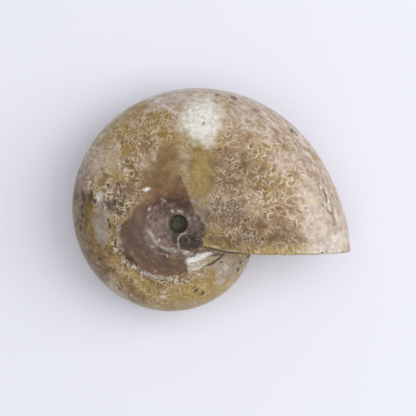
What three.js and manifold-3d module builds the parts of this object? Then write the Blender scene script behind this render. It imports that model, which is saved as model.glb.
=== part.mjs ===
// A polished ammonite fossil lying on its flank, as one solid stone.
//
// The shell is a flat coil. Its outer edge follows a logarithmic spiral, each whorl covers
// most of the one before it, and the last whorl ends in a clean cut across the aperture.
// The coil axis leans a little from +Z, because the whorls grow thicker towards the
// aperture and the stone rests on one flank, which is ground flat where it touches.
//
// Millimetres, +Z up, origin on the resting face under the middle of the shell's box.
import * as THREE from "three";
import { mergeVertices } from "three/addons/utils/BufferGeometryUtils.js";
import Module from "manifold-3d";

// Coil: the venter is the outer edge, and angles run back along the coil from +X.
const VENTER_RADIUS = 34.9;
const WHORL_EXPANSION = 2.2;
const LIP_FLARE = 0.05;
const LIP_FLARE_SPAN = THREE.MathUtils.degToRad(20);

// Aperture: its straight cut edge passes the axis at this offset.
const APERTURE_OFFSET = 6.4;

// Whorl section, where the place across it is the distance from the axis over the venter radius.
const HALF_WIDTH = 12.0;
const WIDTH_GROWTH = 0.33;
const WIDEST_PLACE = 0.4;
const FLANK_FALL = 0.1;
const VENTER_FULLNESS = 2.15;

// Umbilicus: a shallow dish round the coil axis with a pit at its middle.
const DISH_RADIUS = 8.0;
const DISH_HEIGHT = 7.0;
const PIT_RADIUS = 2.1;
const PIT_WALL = 0.7;
const PIT_DEPTH = 2.0;

// Both flanks are ground down where the aperture's edge meets the whorl before it.
const SEAM_GRIND = 2.2;
const SEAM_GRIND_SPAN = 0.7;
const SEAM_GRIND_INNER = 7.0;
const SEAM_GRIND_OUTER = 15.0;

// Rest: how the coil leans on its flank, how much of that flank is ground away, and how wide the
// grinding table is in venter radii.
const LEAN = THREE.MathUtils.degToRad(6.0);
const LEAN_TOWARDS = THREE.MathUtils.degToRad(213);
const REST_GRIND = 0.8;
const TABLE_REACH = 4;

// Facets round the coil, and across the dish and the rest of one flank.
const TURN_STEPS = 96;
const DISH_STEPS = 5;
const FLANK_STEPS = 16;

// Corners closer than this are one corner, and passes that settle the venter's distance on a sweep line.
const SAME_CORNER = 1e-4;
const VENTER_PASSES = 12;

const TURN = 2 * Math.PI;
const GROWTH = Math.log(WHORL_EXPANSION) / TURN;
const { smoothstep, lerp } = THREE.MathUtils;

// How far the aperture's edge is swung back from +X at a distance from the axis.
function apertureAngle(distance) {
  return -Math.atan2(APERTURE_OFFSET, distance);
}

// The venter's distance from the axis at an angle back along the coil.
function venterRadius(angle) {
  const flare = 1 - smoothstep(angle, -LIP_FLARE_SPAN, LIP_FLARE_SPAN);
  return VENTER_RADIUS * Math.exp(-GROWTH * angle) * (1 + LIP_FLARE * flare);
}

// The venter's distance on the sweep line that starts at the aperture and goes this far round.
function venterOnSweep(sweep) {
  let radius = VENTER_RADIUS;
  for (let pass = 0; pass < VENTER_PASSES; pass++) {
    radius = venterRadius(apertureAngle(radius) + sweep);
  }
  return radius;
}

// Half the whorl's thickness as a share of its greatest, by the place across the section.
function sectionShare(place) {
  if (place < WIDEST_PLACE) {
    return 1 - FLANK_FALL * ((WIDEST_PLACE - place) / WIDEST_PLACE) ** 2;
  }
  const outward = Math.min(1, (place - WIDEST_PLACE) / (1 - WIDEST_PLACE));
  return Math.sqrt(1 - outward ** VENTER_FULLNESS);
}

// The flank's height over the coil's middle plane, before any grinding.
function flankHeight(distance, angle) {
  const width = HALF_WIDTH * Math.exp(-GROWTH * WIDTH_GROWTH * angle);
  return width * sectionShare(distance / venterRadius(angle));
}

// What grinding takes off a flank beside the aperture's inner edge.
function seamGrind(distance, sweep) {
  const near = Math.exp(-sweep / SEAM_GRIND_SPAN);
  const inside = 1 - smoothstep(distance, SEAM_GRIND_INNER, SEAM_GRIND_OUTER);
  return SEAM_GRIND * near * inside;
}

// The finished surface's height over the middle plane, with dish and pit.
function surfaceHeight(distance, sweep) {
  const flank = flankHeight(distance, apertureAngle(distance) + sweep);
  const ground = flank - seamGrind(distance, sweep);
  const dish = lerp(DISH_HEIGHT, ground, smoothstep(distance, PIT_RADIUS, DISH_RADIUS));
  const wall = smoothstep(distance, PIT_RADIUS - PIT_WALL, PIT_RADIUS);
  return dish - PIT_DEPTH * (1 - wall);
}

// Distances from the axis along one flank, out to the venter at the given reach.
function flankDistances(reach) {
  const distances = [0, PIT_RADIUS - PIT_WALL, PIT_RADIUS - PIT_WALL / 2];
  for (let step = 0; step < DISH_STEPS; step++) {
    distances.push(lerp(PIT_RADIUS, DISH_RADIUS, step / DISH_STEPS));
  }
  for (let step = 0; step <= FLANK_STEPS; step++) {
    const outward = Math.sin((Math.PI / 2) * (step / FLANK_STEPS));
    distances.push(lerp(DISH_RADIUS, reach, outward));
  }
  return distances;
}

// A whole section as points of distance and height: out along the lower flank, back along the upper.
function sectionAt(sweep) {
  const distances = flankDistances(venterOnSweep(sweep));
  const points = distances.map(
    (distance) => new THREE.Vector2(distance, surfaceHeight(distance, sweep)),
  );
  const venter = points.pop();
  const lower = points.map(({ x, y }) => new THREE.Vector2(x, -y));
  return [...lower, venter.setY(0), ...points.reverse()];
}

// Winds a lathed ring into the coil: each of its columns becomes one section of the growing whorl.
function windCoil(lathe) {
  const position = lathe.getAttribute("position");
  for (let column = 0; column <= TURN_STEPS; column++) {
    const sweep = (TURN * column) / TURN_STEPS;
    const section = sectionAt(sweep);
    section.forEach(({ x: distance, y: height }, row) => {
      const angle = apertureAngle(distance) + sweep;
      const x = distance * Math.cos(angle);
      const y = distance * Math.sin(angle);
      position.setXYZ(column * section.length + row, x, y, height);
    });
  }
}

// Triangles that close the coil at the aperture, from the last section to the one a turn before it.
function apertureFaces(rows) {
  const before = TURN_STEPS * rows;
  const faces = [];
  for (let row = 0; row + 1 < rows; row++) {
    faces.push(row, row + 1, before + row);
    faces.push(row + 1, before + row + 1, before + row);
  }
  return faces;
}

// One closed surface: shared corners are merged, and triangles shrunk to a line are dropped.
function closeSurface(geometry) {
  const bare = new THREE.BufferGeometry();
  bare.setAttribute("position", geometry.getAttribute("position"));
  bare.setIndex(geometry.getIndex());
  const merged = mergeVertices(bare, SAME_CORNER);
  const corners = merged.getIndex().array;
  const kept = [];
  for (let i = 0; i < corners.length; i += 3) {
    const [a, b, c] = corners.slice(i, i + 3);
    if (a !== b && b !== c && c !== a) kept.push(a, b, c);
  }
  merged.setIndex(kept);
  return merged;
}

const wasm = await Module();
wasm.setup();

function toSolid(geometry) {
  return new wasm.Manifold(
    new wasm.Mesh({
      numProp: 3,
      vertProperties: new Float32Array(geometry.getAttribute("position").array),
      triVerts: new Uint32Array(geometry.getIndex().array),
    }),
  );
}

function toGeometry(solid) {
  const mesh = solid.getMesh();
  const geometry = new THREE.BufferGeometry();
  geometry.setAttribute("position", new THREE.BufferAttribute(mesh.vertProperties, 3));
  geometry.setIndex(new THREE.BufferAttribute(mesh.triVerts, 1));
  return geometry;
}

function buildCoil() {
  const lastSection = sectionAt(0);
  const lathe = new THREE.LatheGeometry(lastSection, TURN_STEPS);
  windCoil(lathe);
  lathe.setIndex([...lathe.getIndex().array, ...apertureFaces(lastSection.length)]);
  return closeSurface(lathe);
}

// Leans the coil on its flank, sets it down, and grinds the flank flat where it rests.
function layDown(coil) {
  const tipAxis = new THREE.Vector3(-Math.sin(LEAN_TOWARDS), Math.cos(LEAN_TOWARDS), 0);
  coil.applyMatrix4(new THREE.Matrix4().makeRotationAxis(tipAxis, LEAN));
  coil.computeBoundingBox();
  const { min, max } = coil.boundingBox;
  coil.translate(-(min.x + max.x) / 2, -(min.y + max.y) / 2, -min.z - REST_GRIND);
  const reach = TABLE_REACH * VENTER_RADIUS;
  const table = new THREE.BoxGeometry(reach, reach, reach).translate(0, 0, -reach / 2);
  return toGeometry(toSolid(coil).subtract(toSolid(closeSurface(table))));
}

const fossilStone = new THREE.MeshStandardMaterial({
  color: 0xa68f66,
  roughness: 0.3,
  metalness: 0,
});

const stone = layDown(buildCoil());
stone.computeVertexNormals();
const ammonite = new THREE.Mesh(stone, fossilStone);
ammonite.name = "ammonite";

const part = new THREE.Group();
part.add(ammonite);
export default part;
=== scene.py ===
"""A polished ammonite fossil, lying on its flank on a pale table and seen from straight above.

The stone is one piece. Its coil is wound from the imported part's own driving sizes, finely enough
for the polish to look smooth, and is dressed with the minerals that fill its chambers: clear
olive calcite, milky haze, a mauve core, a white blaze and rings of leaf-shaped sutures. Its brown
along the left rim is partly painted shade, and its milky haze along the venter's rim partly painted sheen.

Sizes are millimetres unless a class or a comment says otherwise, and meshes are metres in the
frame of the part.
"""

from __future__ import annotations

import logging
import math
import random
from dataclasses import dataclass, field, replace
from enum import Enum
from functools import partial, reduce

import bmesh
import bpy
import numpy as np
from mathutils import Matrix, Vector, noise

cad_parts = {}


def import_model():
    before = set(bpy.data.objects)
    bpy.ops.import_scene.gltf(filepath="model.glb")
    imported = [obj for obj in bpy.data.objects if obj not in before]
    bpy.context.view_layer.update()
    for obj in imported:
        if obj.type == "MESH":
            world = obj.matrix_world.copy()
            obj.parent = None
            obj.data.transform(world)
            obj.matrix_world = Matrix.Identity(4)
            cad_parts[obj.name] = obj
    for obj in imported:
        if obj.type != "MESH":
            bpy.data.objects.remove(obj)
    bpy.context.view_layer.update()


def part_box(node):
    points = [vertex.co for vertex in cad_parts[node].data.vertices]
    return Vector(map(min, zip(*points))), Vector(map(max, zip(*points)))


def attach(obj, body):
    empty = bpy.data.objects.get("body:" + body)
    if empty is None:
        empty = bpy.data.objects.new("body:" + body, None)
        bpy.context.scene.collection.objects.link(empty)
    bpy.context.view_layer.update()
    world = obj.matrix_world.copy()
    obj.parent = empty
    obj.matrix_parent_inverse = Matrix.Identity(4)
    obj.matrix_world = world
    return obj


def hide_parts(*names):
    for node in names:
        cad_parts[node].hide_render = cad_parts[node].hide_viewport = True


MM = 0.001
TURN = 2.0 * math.pi
NODE = "ammonite"
BODY = "root"
PIECE = "polished_ammonite"
SEED = 11

# The eye that the mineral map was drawn from, straight above the stone, and the plane it was drawn on.
EYE = Vector((-0.58, -1.71, 332.0))
MAP_HEIGHT = 12.0

# Vertices closer than this, in metres, are one vertex.
SAME_POINT = 2e-6

# A length past any on the stone, and one too small to matter.
FAR = 1e3
TINY = 1e-9

# The middle of a noise colour, and the factor that leaves a place only its first two numbers.
NOISE_MIDDLE = (0.5, 0.5, 0.5)
FLAT = (1.0, 1.0, 0.0)

# What a ring of leaves is drawn with, and the cover that a zone starts to show at and shows fully at.
LEAF_MASKS = ("Outline", "Inside", "Halo")
COVER_SHOWN = (0.02, 0.2)

log = logging.getLogger("ammonite")

Colour = tuple[float, float, float, float]
Point = tuple[float, float]
Pair = tuple[float, float]
Triple = tuple[float, float, float]
Socket = bpy.types.NodeSocket
Sockets = bpy.types.bpy_prop_collection
Feed = Socket | float | tuple


def srgb(red: int, green: int, blue: int) -> Colour:
    """Turns an everyday colour into the linear one that shaders take, by the sRGB standard's formula.

    Args:
        red: red from 0 to 255.
        green: green from 0 to 255.
        blue: blue from 0 to 255.

    Returns:
        The linear colour, opaque.
    """
    channels = [value / 255.0 for value in (red, green, blue)]
    linear = [c / 12.92 if c <= 0.04045 else ((c + 0.055) / 1.055) ** 2.4 for c in channels]
    return (linear[0], linear[1], linear[2], 1.0)


def smooth(value: np.ndarray, low: float, high: float) -> np.ndarray:
    """Eases from 0 at low to 1 at high.

    Args:
        value: numbers to ease.
        low: where the ease starts.
        high: where it ends.

    Returns:
        The eased share of each number.
    """
    share = np.clip((value - low) / (high - low), 0.0, 1.0)
    return share * share * (3.0 - 2.0 * share)


class Side(Enum):
    """The two flanks of the coil as it lies; each value is the flank's place in lists of both."""

    LOWER = 0
    UPPER = 1


class Zone(Enum):
    """What a place on the stone is marked with; each value is the mesh attribute that carries it."""

    CALCITE = "calcite"
    HAZE = "haze"
    MAUVE = "mauve"
    ROSE = "rose"
    OLIVE = "olive"
    GOLD = "gold"
    UMBER = "umber"
    CREAM = "cream"
    SLATE = "slate"
    FRILL = "frill"
    LEAVES = "leaves"
    SQUIGGLE = "squiggle"
    STREAK = "streak"
    RUSSET = "russet"
    BUFF = "buff"


@dataclass(frozen=True)
class Patch:
    """An oval of mineral on the map.

    Attributes:
        at: its middle.
        half: half its length and half its width.
        turn: how far its length is turned from +X, in degrees.
        strength: how much of the mineral there is.
        soft: the share of its size over which it fades.
    """

    at: Point
    half: Point
    turn: float = 0.0
    strength: float = 1.0
    soft: float = 0.35

    def cover(self, places: np.ndarray) -> np.ndarray:
        """Tells how much of the patch lies on each place.

        Args:
            places: points on the map, one row each.

        Returns:
            The cover of each point, from 0 to the patch's strength.
        """
        angle = math.radians(self.turn)
        offset = places - np.array(self.at)
        along = offset[:, 0] * math.cos(angle) + offset[:, 1] * math.sin(angle)
        across = offset[:, 1] * math.cos(angle) - offset[:, 0] * math.sin(angle)
        reach = np.hypot(along / self.half[0], across / self.half[1])
        return self.strength * (1.0 - smooth(reach, 1.0 - self.soft, 1.0 + self.soft))


@dataclass(frozen=True)
class Vein:
    """A band of mineral that follows a line of points on the map.

    Attributes:
        line: the points that it runs through.
        half: half its width at each of those points, or one number for all.
        strength: how much of the mineral there is.
        soft: the share of its width over which it fades.
    """

    line: tuple[Point, ...]
    half: tuple[float, ...] | float
    strength: float = 1.0
    soft: float = 0.35

    def cover(self, places: np.ndarray) -> np.ndarray:
        """Tells how much of the vein lies on each place.

        Args:
            places: points on the map, one row each.

        Returns:
            The cover of each point, from 0 to the vein's strength.
        """
        widths = self.half if isinstance(self.half, tuple) else (self.half,) * len(self.line)
        nearest = np.full(len(places), np.inf)
        for step in range(len(self.line) - 1):
            start = np.array(self.line[step])
            run = np.array(self.line[step + 1]) - start
            share = np.clip((places - start) @ run / (run @ run), 0.0, 1.0)
            gap = np.linalg.norm(places - start - share[:, None] * run, axis=1)
            width = widths[step] + (widths[step + 1] - widths[step]) * share
            nearest = np.minimum(nearest, gap / width)
        return self.strength * (1.0 - smooth(nearest, 1.0 - self.soft, 1.0 + self.soft))


# The minerals of the upper flank, placed to match the photo.
UPPER_ZONES: dict[Zone, tuple[Patch | Vein, ...]] = {
    Zone.CALCITE: (
        Patch((-1.7, 17.3), (4.32, 4.53), -25, soft=0.7),
        Patch((-0.6, 13.4), (1.73, 2.16), 20, strength=0.7, soft=0.8),
        Patch((-5.8, 16.4), (2.16, 2.37), strength=0.5, soft=0.8),
        Vein(((-11.4, 21.4), (-9.2, 19.9), (-7.1, 18.6)), 0.43, strength=0.4, soft=0.8),
        Patch((-13.6, 2.3), (0.95, 0.37), 10, strength=0.9),
        Patch((-15.6, -0.6), (0.52, 0.26), 20, strength=0.4, soft=0.8),
        Patch((-4.5, -3.6), (0.43, 0.91), 12, strength=0.32, soft=0.9),
        Patch((-8.1, -2.4), (0.52, 0.35), -30, strength=0.36, soft=0.9),
        Patch((-6.5, -2.5), (0.78, 0.26), -12, strength=0.5, soft=0.7),
        Patch((-12.7, -1.7), (0.37, 0.86), -18, strength=0.36, soft=0.9),
        Patch((-13.3, -3.4), (0.35, 0.6), 15, strength=0.34, soft=0.9),
        Patch((-10.2, -0.1), (0.78, 0.3), -25, strength=0.36, soft=0.9),
        Patch((-10.9, -8.6), (0.35, 0.28), strength=0.44, soft=0.7),
        Patch((-3.2, -4.3), (1.94, 2.59), 20, strength=0.28, soft=0.9),
        Patch((-5.1, -11.4), (1.3, 0.52), -6, strength=0.48, soft=0.7),
        Vein(((-19.4, -5.6), (-19.6, -8.2), (-18.9, -10.8)), 0.52, strength=0.32, soft=0.8),
        Patch((23.2, -9.9), (2.59, 1.3), strength=0.26, soft=0.9),
        Patch((-12.5, -9.9), (0.3, 0.26), strength=0.42, soft=0.7),
        Patch((-9.3, -11.8), (0.19, 0.56), 8, strength=0.36, soft=0.7),
        Vein(((-13.1, -6.7), (-11.8, -8.8), (-9.2, -10.3), (-5.8, -11.2)), 0.47, strength=0.3, soft=0.8),
        Vein(((-4.6, -13.3), (-2.7, -12.5), (0.3, -11.4)), (0.95, 0.95, 0.3), strength=0.75, soft=0.5),
        Vein(((-4.5, -14.9), (-2.5, -14.4), (-0.8, -13.6)), (0.65, 0.65, 0.3), strength=0.52, soft=0.6),
        Patch((-1.9, -9.8), (0.69, 0.19), -20, strength=0.5, soft=0.7),
        Vein(
            ((-5.3, -7.0), (-6.4, -7.5), (-7.1, -8.6), (-7.1, -9.9), (-6.6, -10.7)),
            0.17, strength=0.44, soft=0.6,
        ),
        Patch((1.1, -9.9), (1.08, 0.26), -12, strength=0.55, soft=0.7),
        Patch((5.0, -10.6), (1.51, 0.17), -6, strength=0.46, soft=0.7),
        Patch((-23.9, 0.9), (0.39, 1.08), -15, strength=0.6),
        Patch((-10.3, -20.5), (0.65, 0.43), strength=0.6),
        Patch((3.1, -15.1), (1.3, 1.3), 30, strength=0.34, soft=0.8),
        Patch((-23.7, 0.7), (0.65, 1.08), -12, strength=0.45, soft=0.7),
        Vein(((18.8, -11.2), (23.6, -11.2), (29.0, -10.8)), 0.43, strength=0.42, soft=0.7),
        Patch((27.3, -8.6), (2.16, 1.94), strength=0.46, soft=0.8),
        Vein(
            ((-18.7, -13.4), (-15.3, -15.5), (-10.9, -16.8), (-7.1, -17.2)),
            0.43, strength=0.42, soft=0.6,
        ),
        Vein(((23.6, 3.0), (24.2, 0.9), (25.1, -1.5), (25.5, -2.1)), 0.15, strength=0.55, soft=0.6),
        Vein(((24.5, 2.8), (25.3, 0.9), (26.0, -1.3), (25.8, -2.4)), 0.15, strength=0.55, soft=0.6),
        Vein(((26.0, -1.7), (26.6, -3.4), (27.0, -6.0)), 0.15, strength=0.5, soft=0.6),
    ),
    Zone.HAZE: (
        Patch((24.0, -3.0), (4.53, 9.93), 10, soft=0.6),
        Patch((26.4, -9.5), (5.61, 2.16), soft=0.5),
        # Partly milky calcite, partly painted sheen: this band lightens the venter's rim from the top round
        # to the right, as a painted reflection.
        Vein(
            ((3.7, 22.0), (8.9, 19.7), (14.1, 16.4), (19.3, 11.7), (24.0, 5.6), (27.5, -0.8),
             (29.4, -7.7)),
            1.94, strength=0.75, soft=0.7,
        ),
        Patch((19.3, 2.2), (1.73, 4.32), 20, strength=0.55, soft=0.7),
        Patch((8.5, -2.6), (4.75, 1.73), -8, strength=0.3, soft=0.8),
        Patch((12.4, 14.3), (2.59, 1.51), -30, strength=0.7, soft=0.7),
        Patch((5.2, 14.9), (1.73, 2.16), strength=0.5, soft=0.8),
        Patch((9.8, 20.3), (4.1, 1.51), -28, strength=0.85, soft=0.7),
        Patch((-4.9, -3.0), (1.51, 2.59), 10, strength=0.4, soft=0.8),
        Patch((7.4, 17.7), (3.89, 2.16), -30, strength=0.5, soft=0.8),
        Vein(((-10.9, 22.3), (-2.7, 23.5), (4.6, 22.3)), 1.73, strength=0.8, soft=0.7),
        Patch((-21.3, -18.8), (2.59, 1.08), -42, strength=0.4, soft=0.8),
        Patch((-14.4, 8.7), (0.86, 1.94), -8, strength=0.42, soft=0.6),
        Patch((-5.1, 9.3), (1.08, 2.59), -4, strength=0.36, soft=0.9),
        Patch((-23.2, 4.8), (1.08, 2.16), -20, strength=0.46, soft=0.7),
        Patch((-28.2, 3.9), (1.73, 3.45), -12, strength=0.65, soft=0.7),
        Patch((-15.7, 14.9), (1.3, 1.73), -25, strength=0.5, soft=0.7),
        Patch((-1.9, -0.4), (0.97, 2.37), 18, strength=0.5, soft=0.7),
        Patch((2.4, -1.5), (3.02, 1.73), strength=0.36, soft=0.7),
        Patch((7.6, -0.6), (1.94, 1.3), strength=0.38, soft=0.7),
        Patch((-25.2, 8.0), (2.59, 5.18), -15, strength=0.5, soft=0.8),
        Patch((-8.8, 20.7), (3.02, 1.51), 15, strength=0.5, soft=0.8),
        Patch((2.2, 14.3), (1.73, 1.3), strength=0.36, soft=0.8),
        Patch((16.3, 9.5), (2.59, 3.24), -30, strength=0.48, soft=0.8),
        Patch((24.9, 1.3), (2.37, 2.81), 20, strength=0.55, soft=0.8),
        Patch((2.4, -15.7), (1.73, 1.3), strength=0.42, soft=0.8),
        Patch((26.2, -1.3), (1.51, 2.16), 20, strength=0.55, soft=0.8),
        Patch((22.7, -9.7), (3.02, 1.51), strength=0.6, soft=0.8),
        Patch((-1.0, -3.2), (1.08, 1.94), 10, strength=0.45, soft=0.8),
        Patch((-18.7, 8.7), (1.73, 1.73), strength=0.42, soft=0.8),
    ),
    Zone.MAUVE: (
        Vein(
            ((-10.5, 0.5), (-13.3, -1.1), (-15.3, -3.6), (-17.0, -7.1), (-16.1, -10.8), (-13.3, -13.6),
             (-9.4, -14.4), (-6.2, -14.2)),
            (0.76, 1.3, 1.83, 2.7, 2.91, 2.7, 2.16, 1.73), soft=0.16,
        ),
        Vein(
            ((-7.2, 4.6), (-7.1, 2.8), (-6.6, 0.9), (-5.1, -1.3), (-3.8, -2.8)),
            (0.54, 1.4, 1.73, 1.3, 0.65), strength=0.64, soft=0.3,
        ),
        Vein(((-10.5, 0.2), (-8.8, 0.7), (-7.1, 1.1)), (0.65, 1.3, 1.73), strength=0.8, soft=0.25),
    ),
    Zone.RUSSET: (
        Vein(
            ((-15.9, -3.0), (-14.6, -0.6), (-12.0, 1.1), (-8.8, 2.0)),
            (1.3, 1.73, 1.51, 1.08), strength=0.62, soft=0.7,
        ),
        Patch((-7.1, 2.0), (1.73, 2.16), strength=0.85, soft=0.5),
        Vein(
            ((-18.5, -7.7), (-17.2, -11.8), (-14.0, -14.9), (-9.6, -16.2), (-5.8, -15.7)),
            0.52, strength=0.62, soft=0.6,
        ),
    ),
    Zone.BUFF: (
        Patch((-22.2, 9.5), (3.02, 4.1), -20, strength=0.5, soft=0.7),
        Patch((22.1, 0.2), (1.83, 1.04), -38, strength=0.8, soft=0.25),
        Patch((19.5, -1.3), (0.73, 1.55), 14, strength=0.75, soft=0.25),
        Patch((23.6, -3.4), (1.73, 0.56), -4, strength=0.65, soft=0.35),
        Patch((23.2, -4.9), (1.73, 0.47), -4, strength=0.6, soft=0.35),
        Patch((22.9, -6.7), (1.73, 0.52), -2, strength=0.55, soft=0.35),
        Patch((19.1, 3.0), (0.65, 1.3), 20, strength=0.6, soft=0.35),
        Patch((15.2, 7.6), (0.97, 0.65), 30, strength=0.7, soft=0.4),
        Patch((20.8, 4.3), (0.56, 1.3), 35, strength=0.55, soft=0.4),
        Vein(((-1.7, -12.3), (-0.2, -11.8), (1.6, -11.4)), (0.65, 0.52, 0.17), strength=0.6, soft=0.4),
    ),
    Zone.ROSE: (
        Patch((-8.6, -6.2), (6.69, 6.48), -35, soft=0.2),
        Patch((-4.0, -5.4), (3.24, 2.59), -50, soft=0.25),
        Vein(((-5.3, -11.6), (-1.2, -11.4), (2.4, -11.6)), (1.08, 1.08, 0.43), strength=0.9),
    ),
    Zone.OLIVE: (
        Patch((-10.7, 6.9), (4.1, 5.4), -12, soft=0.4),
        Patch((-11.6, 4.8), (2.81, 3.67), -15, strength=1.2, soft=0.5),
        Patch((-1.9, 6.5), (3.45, 5.83), 8, soft=0.4),
        Patch((-0.6, -18.5), (6.91, 3.45), 20, strength=0.5, soft=0.6),
        Vein(
            ((-26.5, -0.6), (-26.7, -5.6), (-25.6, -10.8), (-23.5, -14.7)),
            (1.51, 1.73, 1.73, 1.3), strength=1.2, soft=0.5,
        ),
    ),
    Zone.GOLD: (
        Vein(
            ((-1.0, -8.8), (3.7, -9.7), (10.2, -10.6), (19.7, -10.8)),
            (1.3, 1.3, 1.08, 0.86), strength=0.85, soft=0.5,
        ),
        Patch((-13.1, -19.0), (6.48, 2.37), -22, soft=0.6),
        Patch((-6.2, -20.9), (7.77, 1.94), strength=0.9, soft=0.6),
        Patch((-1.7, 6.3), (2.16, 5.18), 6, strength=0.8, soft=0.8),
        Patch((2.4, 15.1), (1.3, 2.59), -20, strength=0.55, soft=0.7),
        Patch((-4.0, 12.8), (3.02, 1.08), 10, strength=0.7, soft=0.7),
        Patch((-20.7, 13.0), (5.18, 2.16), 48, strength=0.6, soft=0.8),
        Patch((1.6, 13.0), (1.94, 1.73), 30, strength=0.55, soft=0.8),
        Patch((14.5, 3.7), (3.02, 3.89), 10, strength=0.85, soft=0.7),
        Patch((-0.6, -19.2), (4.75, 2.81), 20, soft=0.6),
        Patch((2.2, 17.7), (1.08, 3.02), -8, strength=0.7, soft=0.8),
        Vein(((21.9, 9.1), (25.3, 3.5), (27.5, -1.3)), 1.08, strength=0.5, soft=0.7),
        Patch((3.3, -16.6), (3.02, 1.94), 40, strength=0.7, soft=0.6),
        Patch((-2.3, 11.2), (2.59, 0.86), strength=0.8, soft=0.6),
        Patch((2.4, -19.8), (3.89, 1.94), 35, strength=0.9, soft=0.6),
        Vein(((-25.8, -2.1), (-25.6, -6.5), (-24.5, -11.2)), 0.65, strength=0.6, soft=0.8),
    ),
    Zone.UMBER: (
        Patch((-7.7, 20.5), (2.59, 1.51), -20, strength=0.2, soft=0.7),
        Patch((-22.2, -15.1), (1.08, 1.94), 35, strength=0.7, soft=0.6),
        Patch((-20.9, -10.6), (0.65, 1.3), -10, soft=0.5),
        Patch((-16.6, -19.8), (3.02, 1.08), -30, strength=0.7, soft=0.6),
        Patch((2.4, 10.4), (1.73, 1.3), strength=0.6, soft=0.7),
        Patch((6.3, 0.0), (2.16, 1.08), strength=0.5, soft=0.7),
        Patch((16.0, -5.4), (2.16, 1.73), strength=0.45, soft=0.7),
        Patch((-14.8, 11.2), (1.3, 1.08), strength=0.5, soft=0.6),
        # Partly the rim's own grey-brown, partly painted shade: this band darkens the left rim, which faces
        # away from the light.
        Vein(((-29.1, 4.8), (-28.9, -2.6), (-27.3, -8.6), (-24.1, -15.1)), 2.59, soft=0.7),
        Vein(
            ((-14.0, 1.7), (-17.9, -1.3), (-19.6, -6.0), (-19.1, -10.8), (-16.1, -14.7), (-10.9, -16.6),
             (-5.8, -16.0)),
            1.3, strength=0.55, soft=0.6,
        ),
        Vein(((23.4, 3.5), (24.9, 0.0), (25.8, -2.4)), 0.65, strength=0.8, soft=0.5),
        Vein(((26.4, -2.1), (27.3, -5.6)), 0.52, strength=0.9, soft=0.5),
        Patch((4.6, -2.6), (4.75, 3.24), soft=0.6),
        Patch((16.3, -6.5), (3.89, 3.45), strength=0.58, soft=0.7),
        Vein(((0.7, -8.2), (8.5, -9.0), (17.1, -9.0)), 1.3, strength=0.85, soft=0.7),
        Patch((11.5, 4.8), (5.18, 2.59), -15, strength=0.58, soft=0.8),
        Patch((5.9, 6.5), (3.67, 4.1), strength=0.7, soft=0.7),
        Patch((-11.6, 4.1), (2.81, 2.59), -15, strength=1.0, soft=0.7),
        Patch((8.7, -6.0), (3.45, 2.37), strength=0.85, soft=0.7),
        Patch((4.2, 3.7), (3.02, 2.59), strength=0.8, soft=0.7),
        Vein(((10.2, -9.9), (13.2, -9.7), (16.3, -9.9)), 0.86, strength=0.8, soft=0.7),
        Patch((-18.1, 1.5), (3.02, 2.37), 20, strength=1.05, soft=0.7),
        Patch((-15.3, 4.8), (1.73, 1.94), strength=0.75, soft=0.7),
        Patch((2.4, 8.2), (1.94, 1.94), strength=0.75, soft=0.7),
        Patch((-22.0, -10.1), (0.86, 1.73), strength=0.7, soft=0.6),
    ),
    Zone.CREAM: (
        Vein(
            ((-23.5, 0.5), (-23.5, -4.3), (-23.5, -7.3), (-23.0, -9.3)),
            (0.86, 1.4, 1.19, 0.65), strength=0.95, soft=0.9,
        ),
        Patch((3.3, -14.0), (3.02, 2.81), 30, strength=0.75, soft=0.8),
    ),
    Zone.SLATE: (
        Patch((-27.5, 0.7), (0.47, 1.51), 4, strength=0.85, soft=0.6),
        Patch((-25.8, 0.9), (0.56, 1.19), -4, strength=0.95, soft=0.5),
        Patch((-25.0, -0.2), (0.43, 0.52), strength=0.85),
        Patch((-29.3, 0.7), (0.35, 0.86), strength=0.65),
        Patch((-27.8, -1.5), (0.39, 0.65), strength=0.8),
        Patch((-27.6, -3.2), (0.32, 0.73), strength=0.8),
        Patch((-28.0, -6.0), (0.3, 0.56), strength=0.75),
        Patch((-22.1, 3.0), (0.3, 0.65), 15, strength=0.8),
        Patch((-21.1, -1.1), (1.62, 1.94), strength=0.75, soft=0.6),
        Patch((-20.9, -0.2), (0.37, 0.73), 10, strength=0.9),
        Patch((-22.0, -0.8), (0.35, 0.78), -8, strength=0.9),
        Patch((-20.4, -1.9), (0.56, 0.39), strength=0.85),
        Patch((-18.0, -1.5), (0.47, 0.39), strength=0.85),
        Vein(((-22.2, -4.1), (-21.7, -5.6), (-21.7, -6.2)), 0.22),
        Patch((-24.1, -12.7), (0.35, 0.28)),
        Vein(((-7.9, -7.5), (-7.9, -8.6), (-7.6, -9.3)), (0.69, 0.56, 0.26), soft=0.4),
        Patch((-5.9, -9.0), (0.95, 1.21), strength=1.2, soft=0.35),
        Patch((-3.8, -8.9), (2.05, 1.47), -12, strength=1.3, soft=0.3),
        Vein(((-2.5, -9.8), (0.3, -10.5), (3.3, -11.1), (8.5, -11.6)), (0.19, 0.17, 0.15, 0.11)),
        Vein(((3.1, -11.4), (1.8, -12.7), (0.3, -13.8), (-1.2, -14.4)), (0.19, 0.26, 0.3, 0.17)),
        Patch((8.1, -12.1), (0.47, 0.32), 40),
        Patch((6.5, -13.4), (0.28, 0.47), -20),
        Patch((5.9, -15.1), (0.35, 0.43), -20),
        Patch((2.4, -13.4), (0.43, 0.19), 10),
        Patch((-3.2, -19.5), (0.6, 0.22), 30),
        Patch((-1.8, -20.1), (0.6, 0.24), 55),
        Patch((-1.6, 16.6), (0.3, 0.39)),
        Patch((-1.9, 17.9), (0.17, 0.3), strength=0.8),
        Patch((5.0, 22.0), (0.86, 0.39), -22, strength=0.75),
        Patch((1.4, 22.6), (0.65, 0.3), -10, strength=0.7),
        Patch((9.6, 19.4), (0.97, 0.35), -28, strength=0.5),
        Patch((17.5, 14.9), (0.35, 0.56), 35, strength=0.75),
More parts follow.
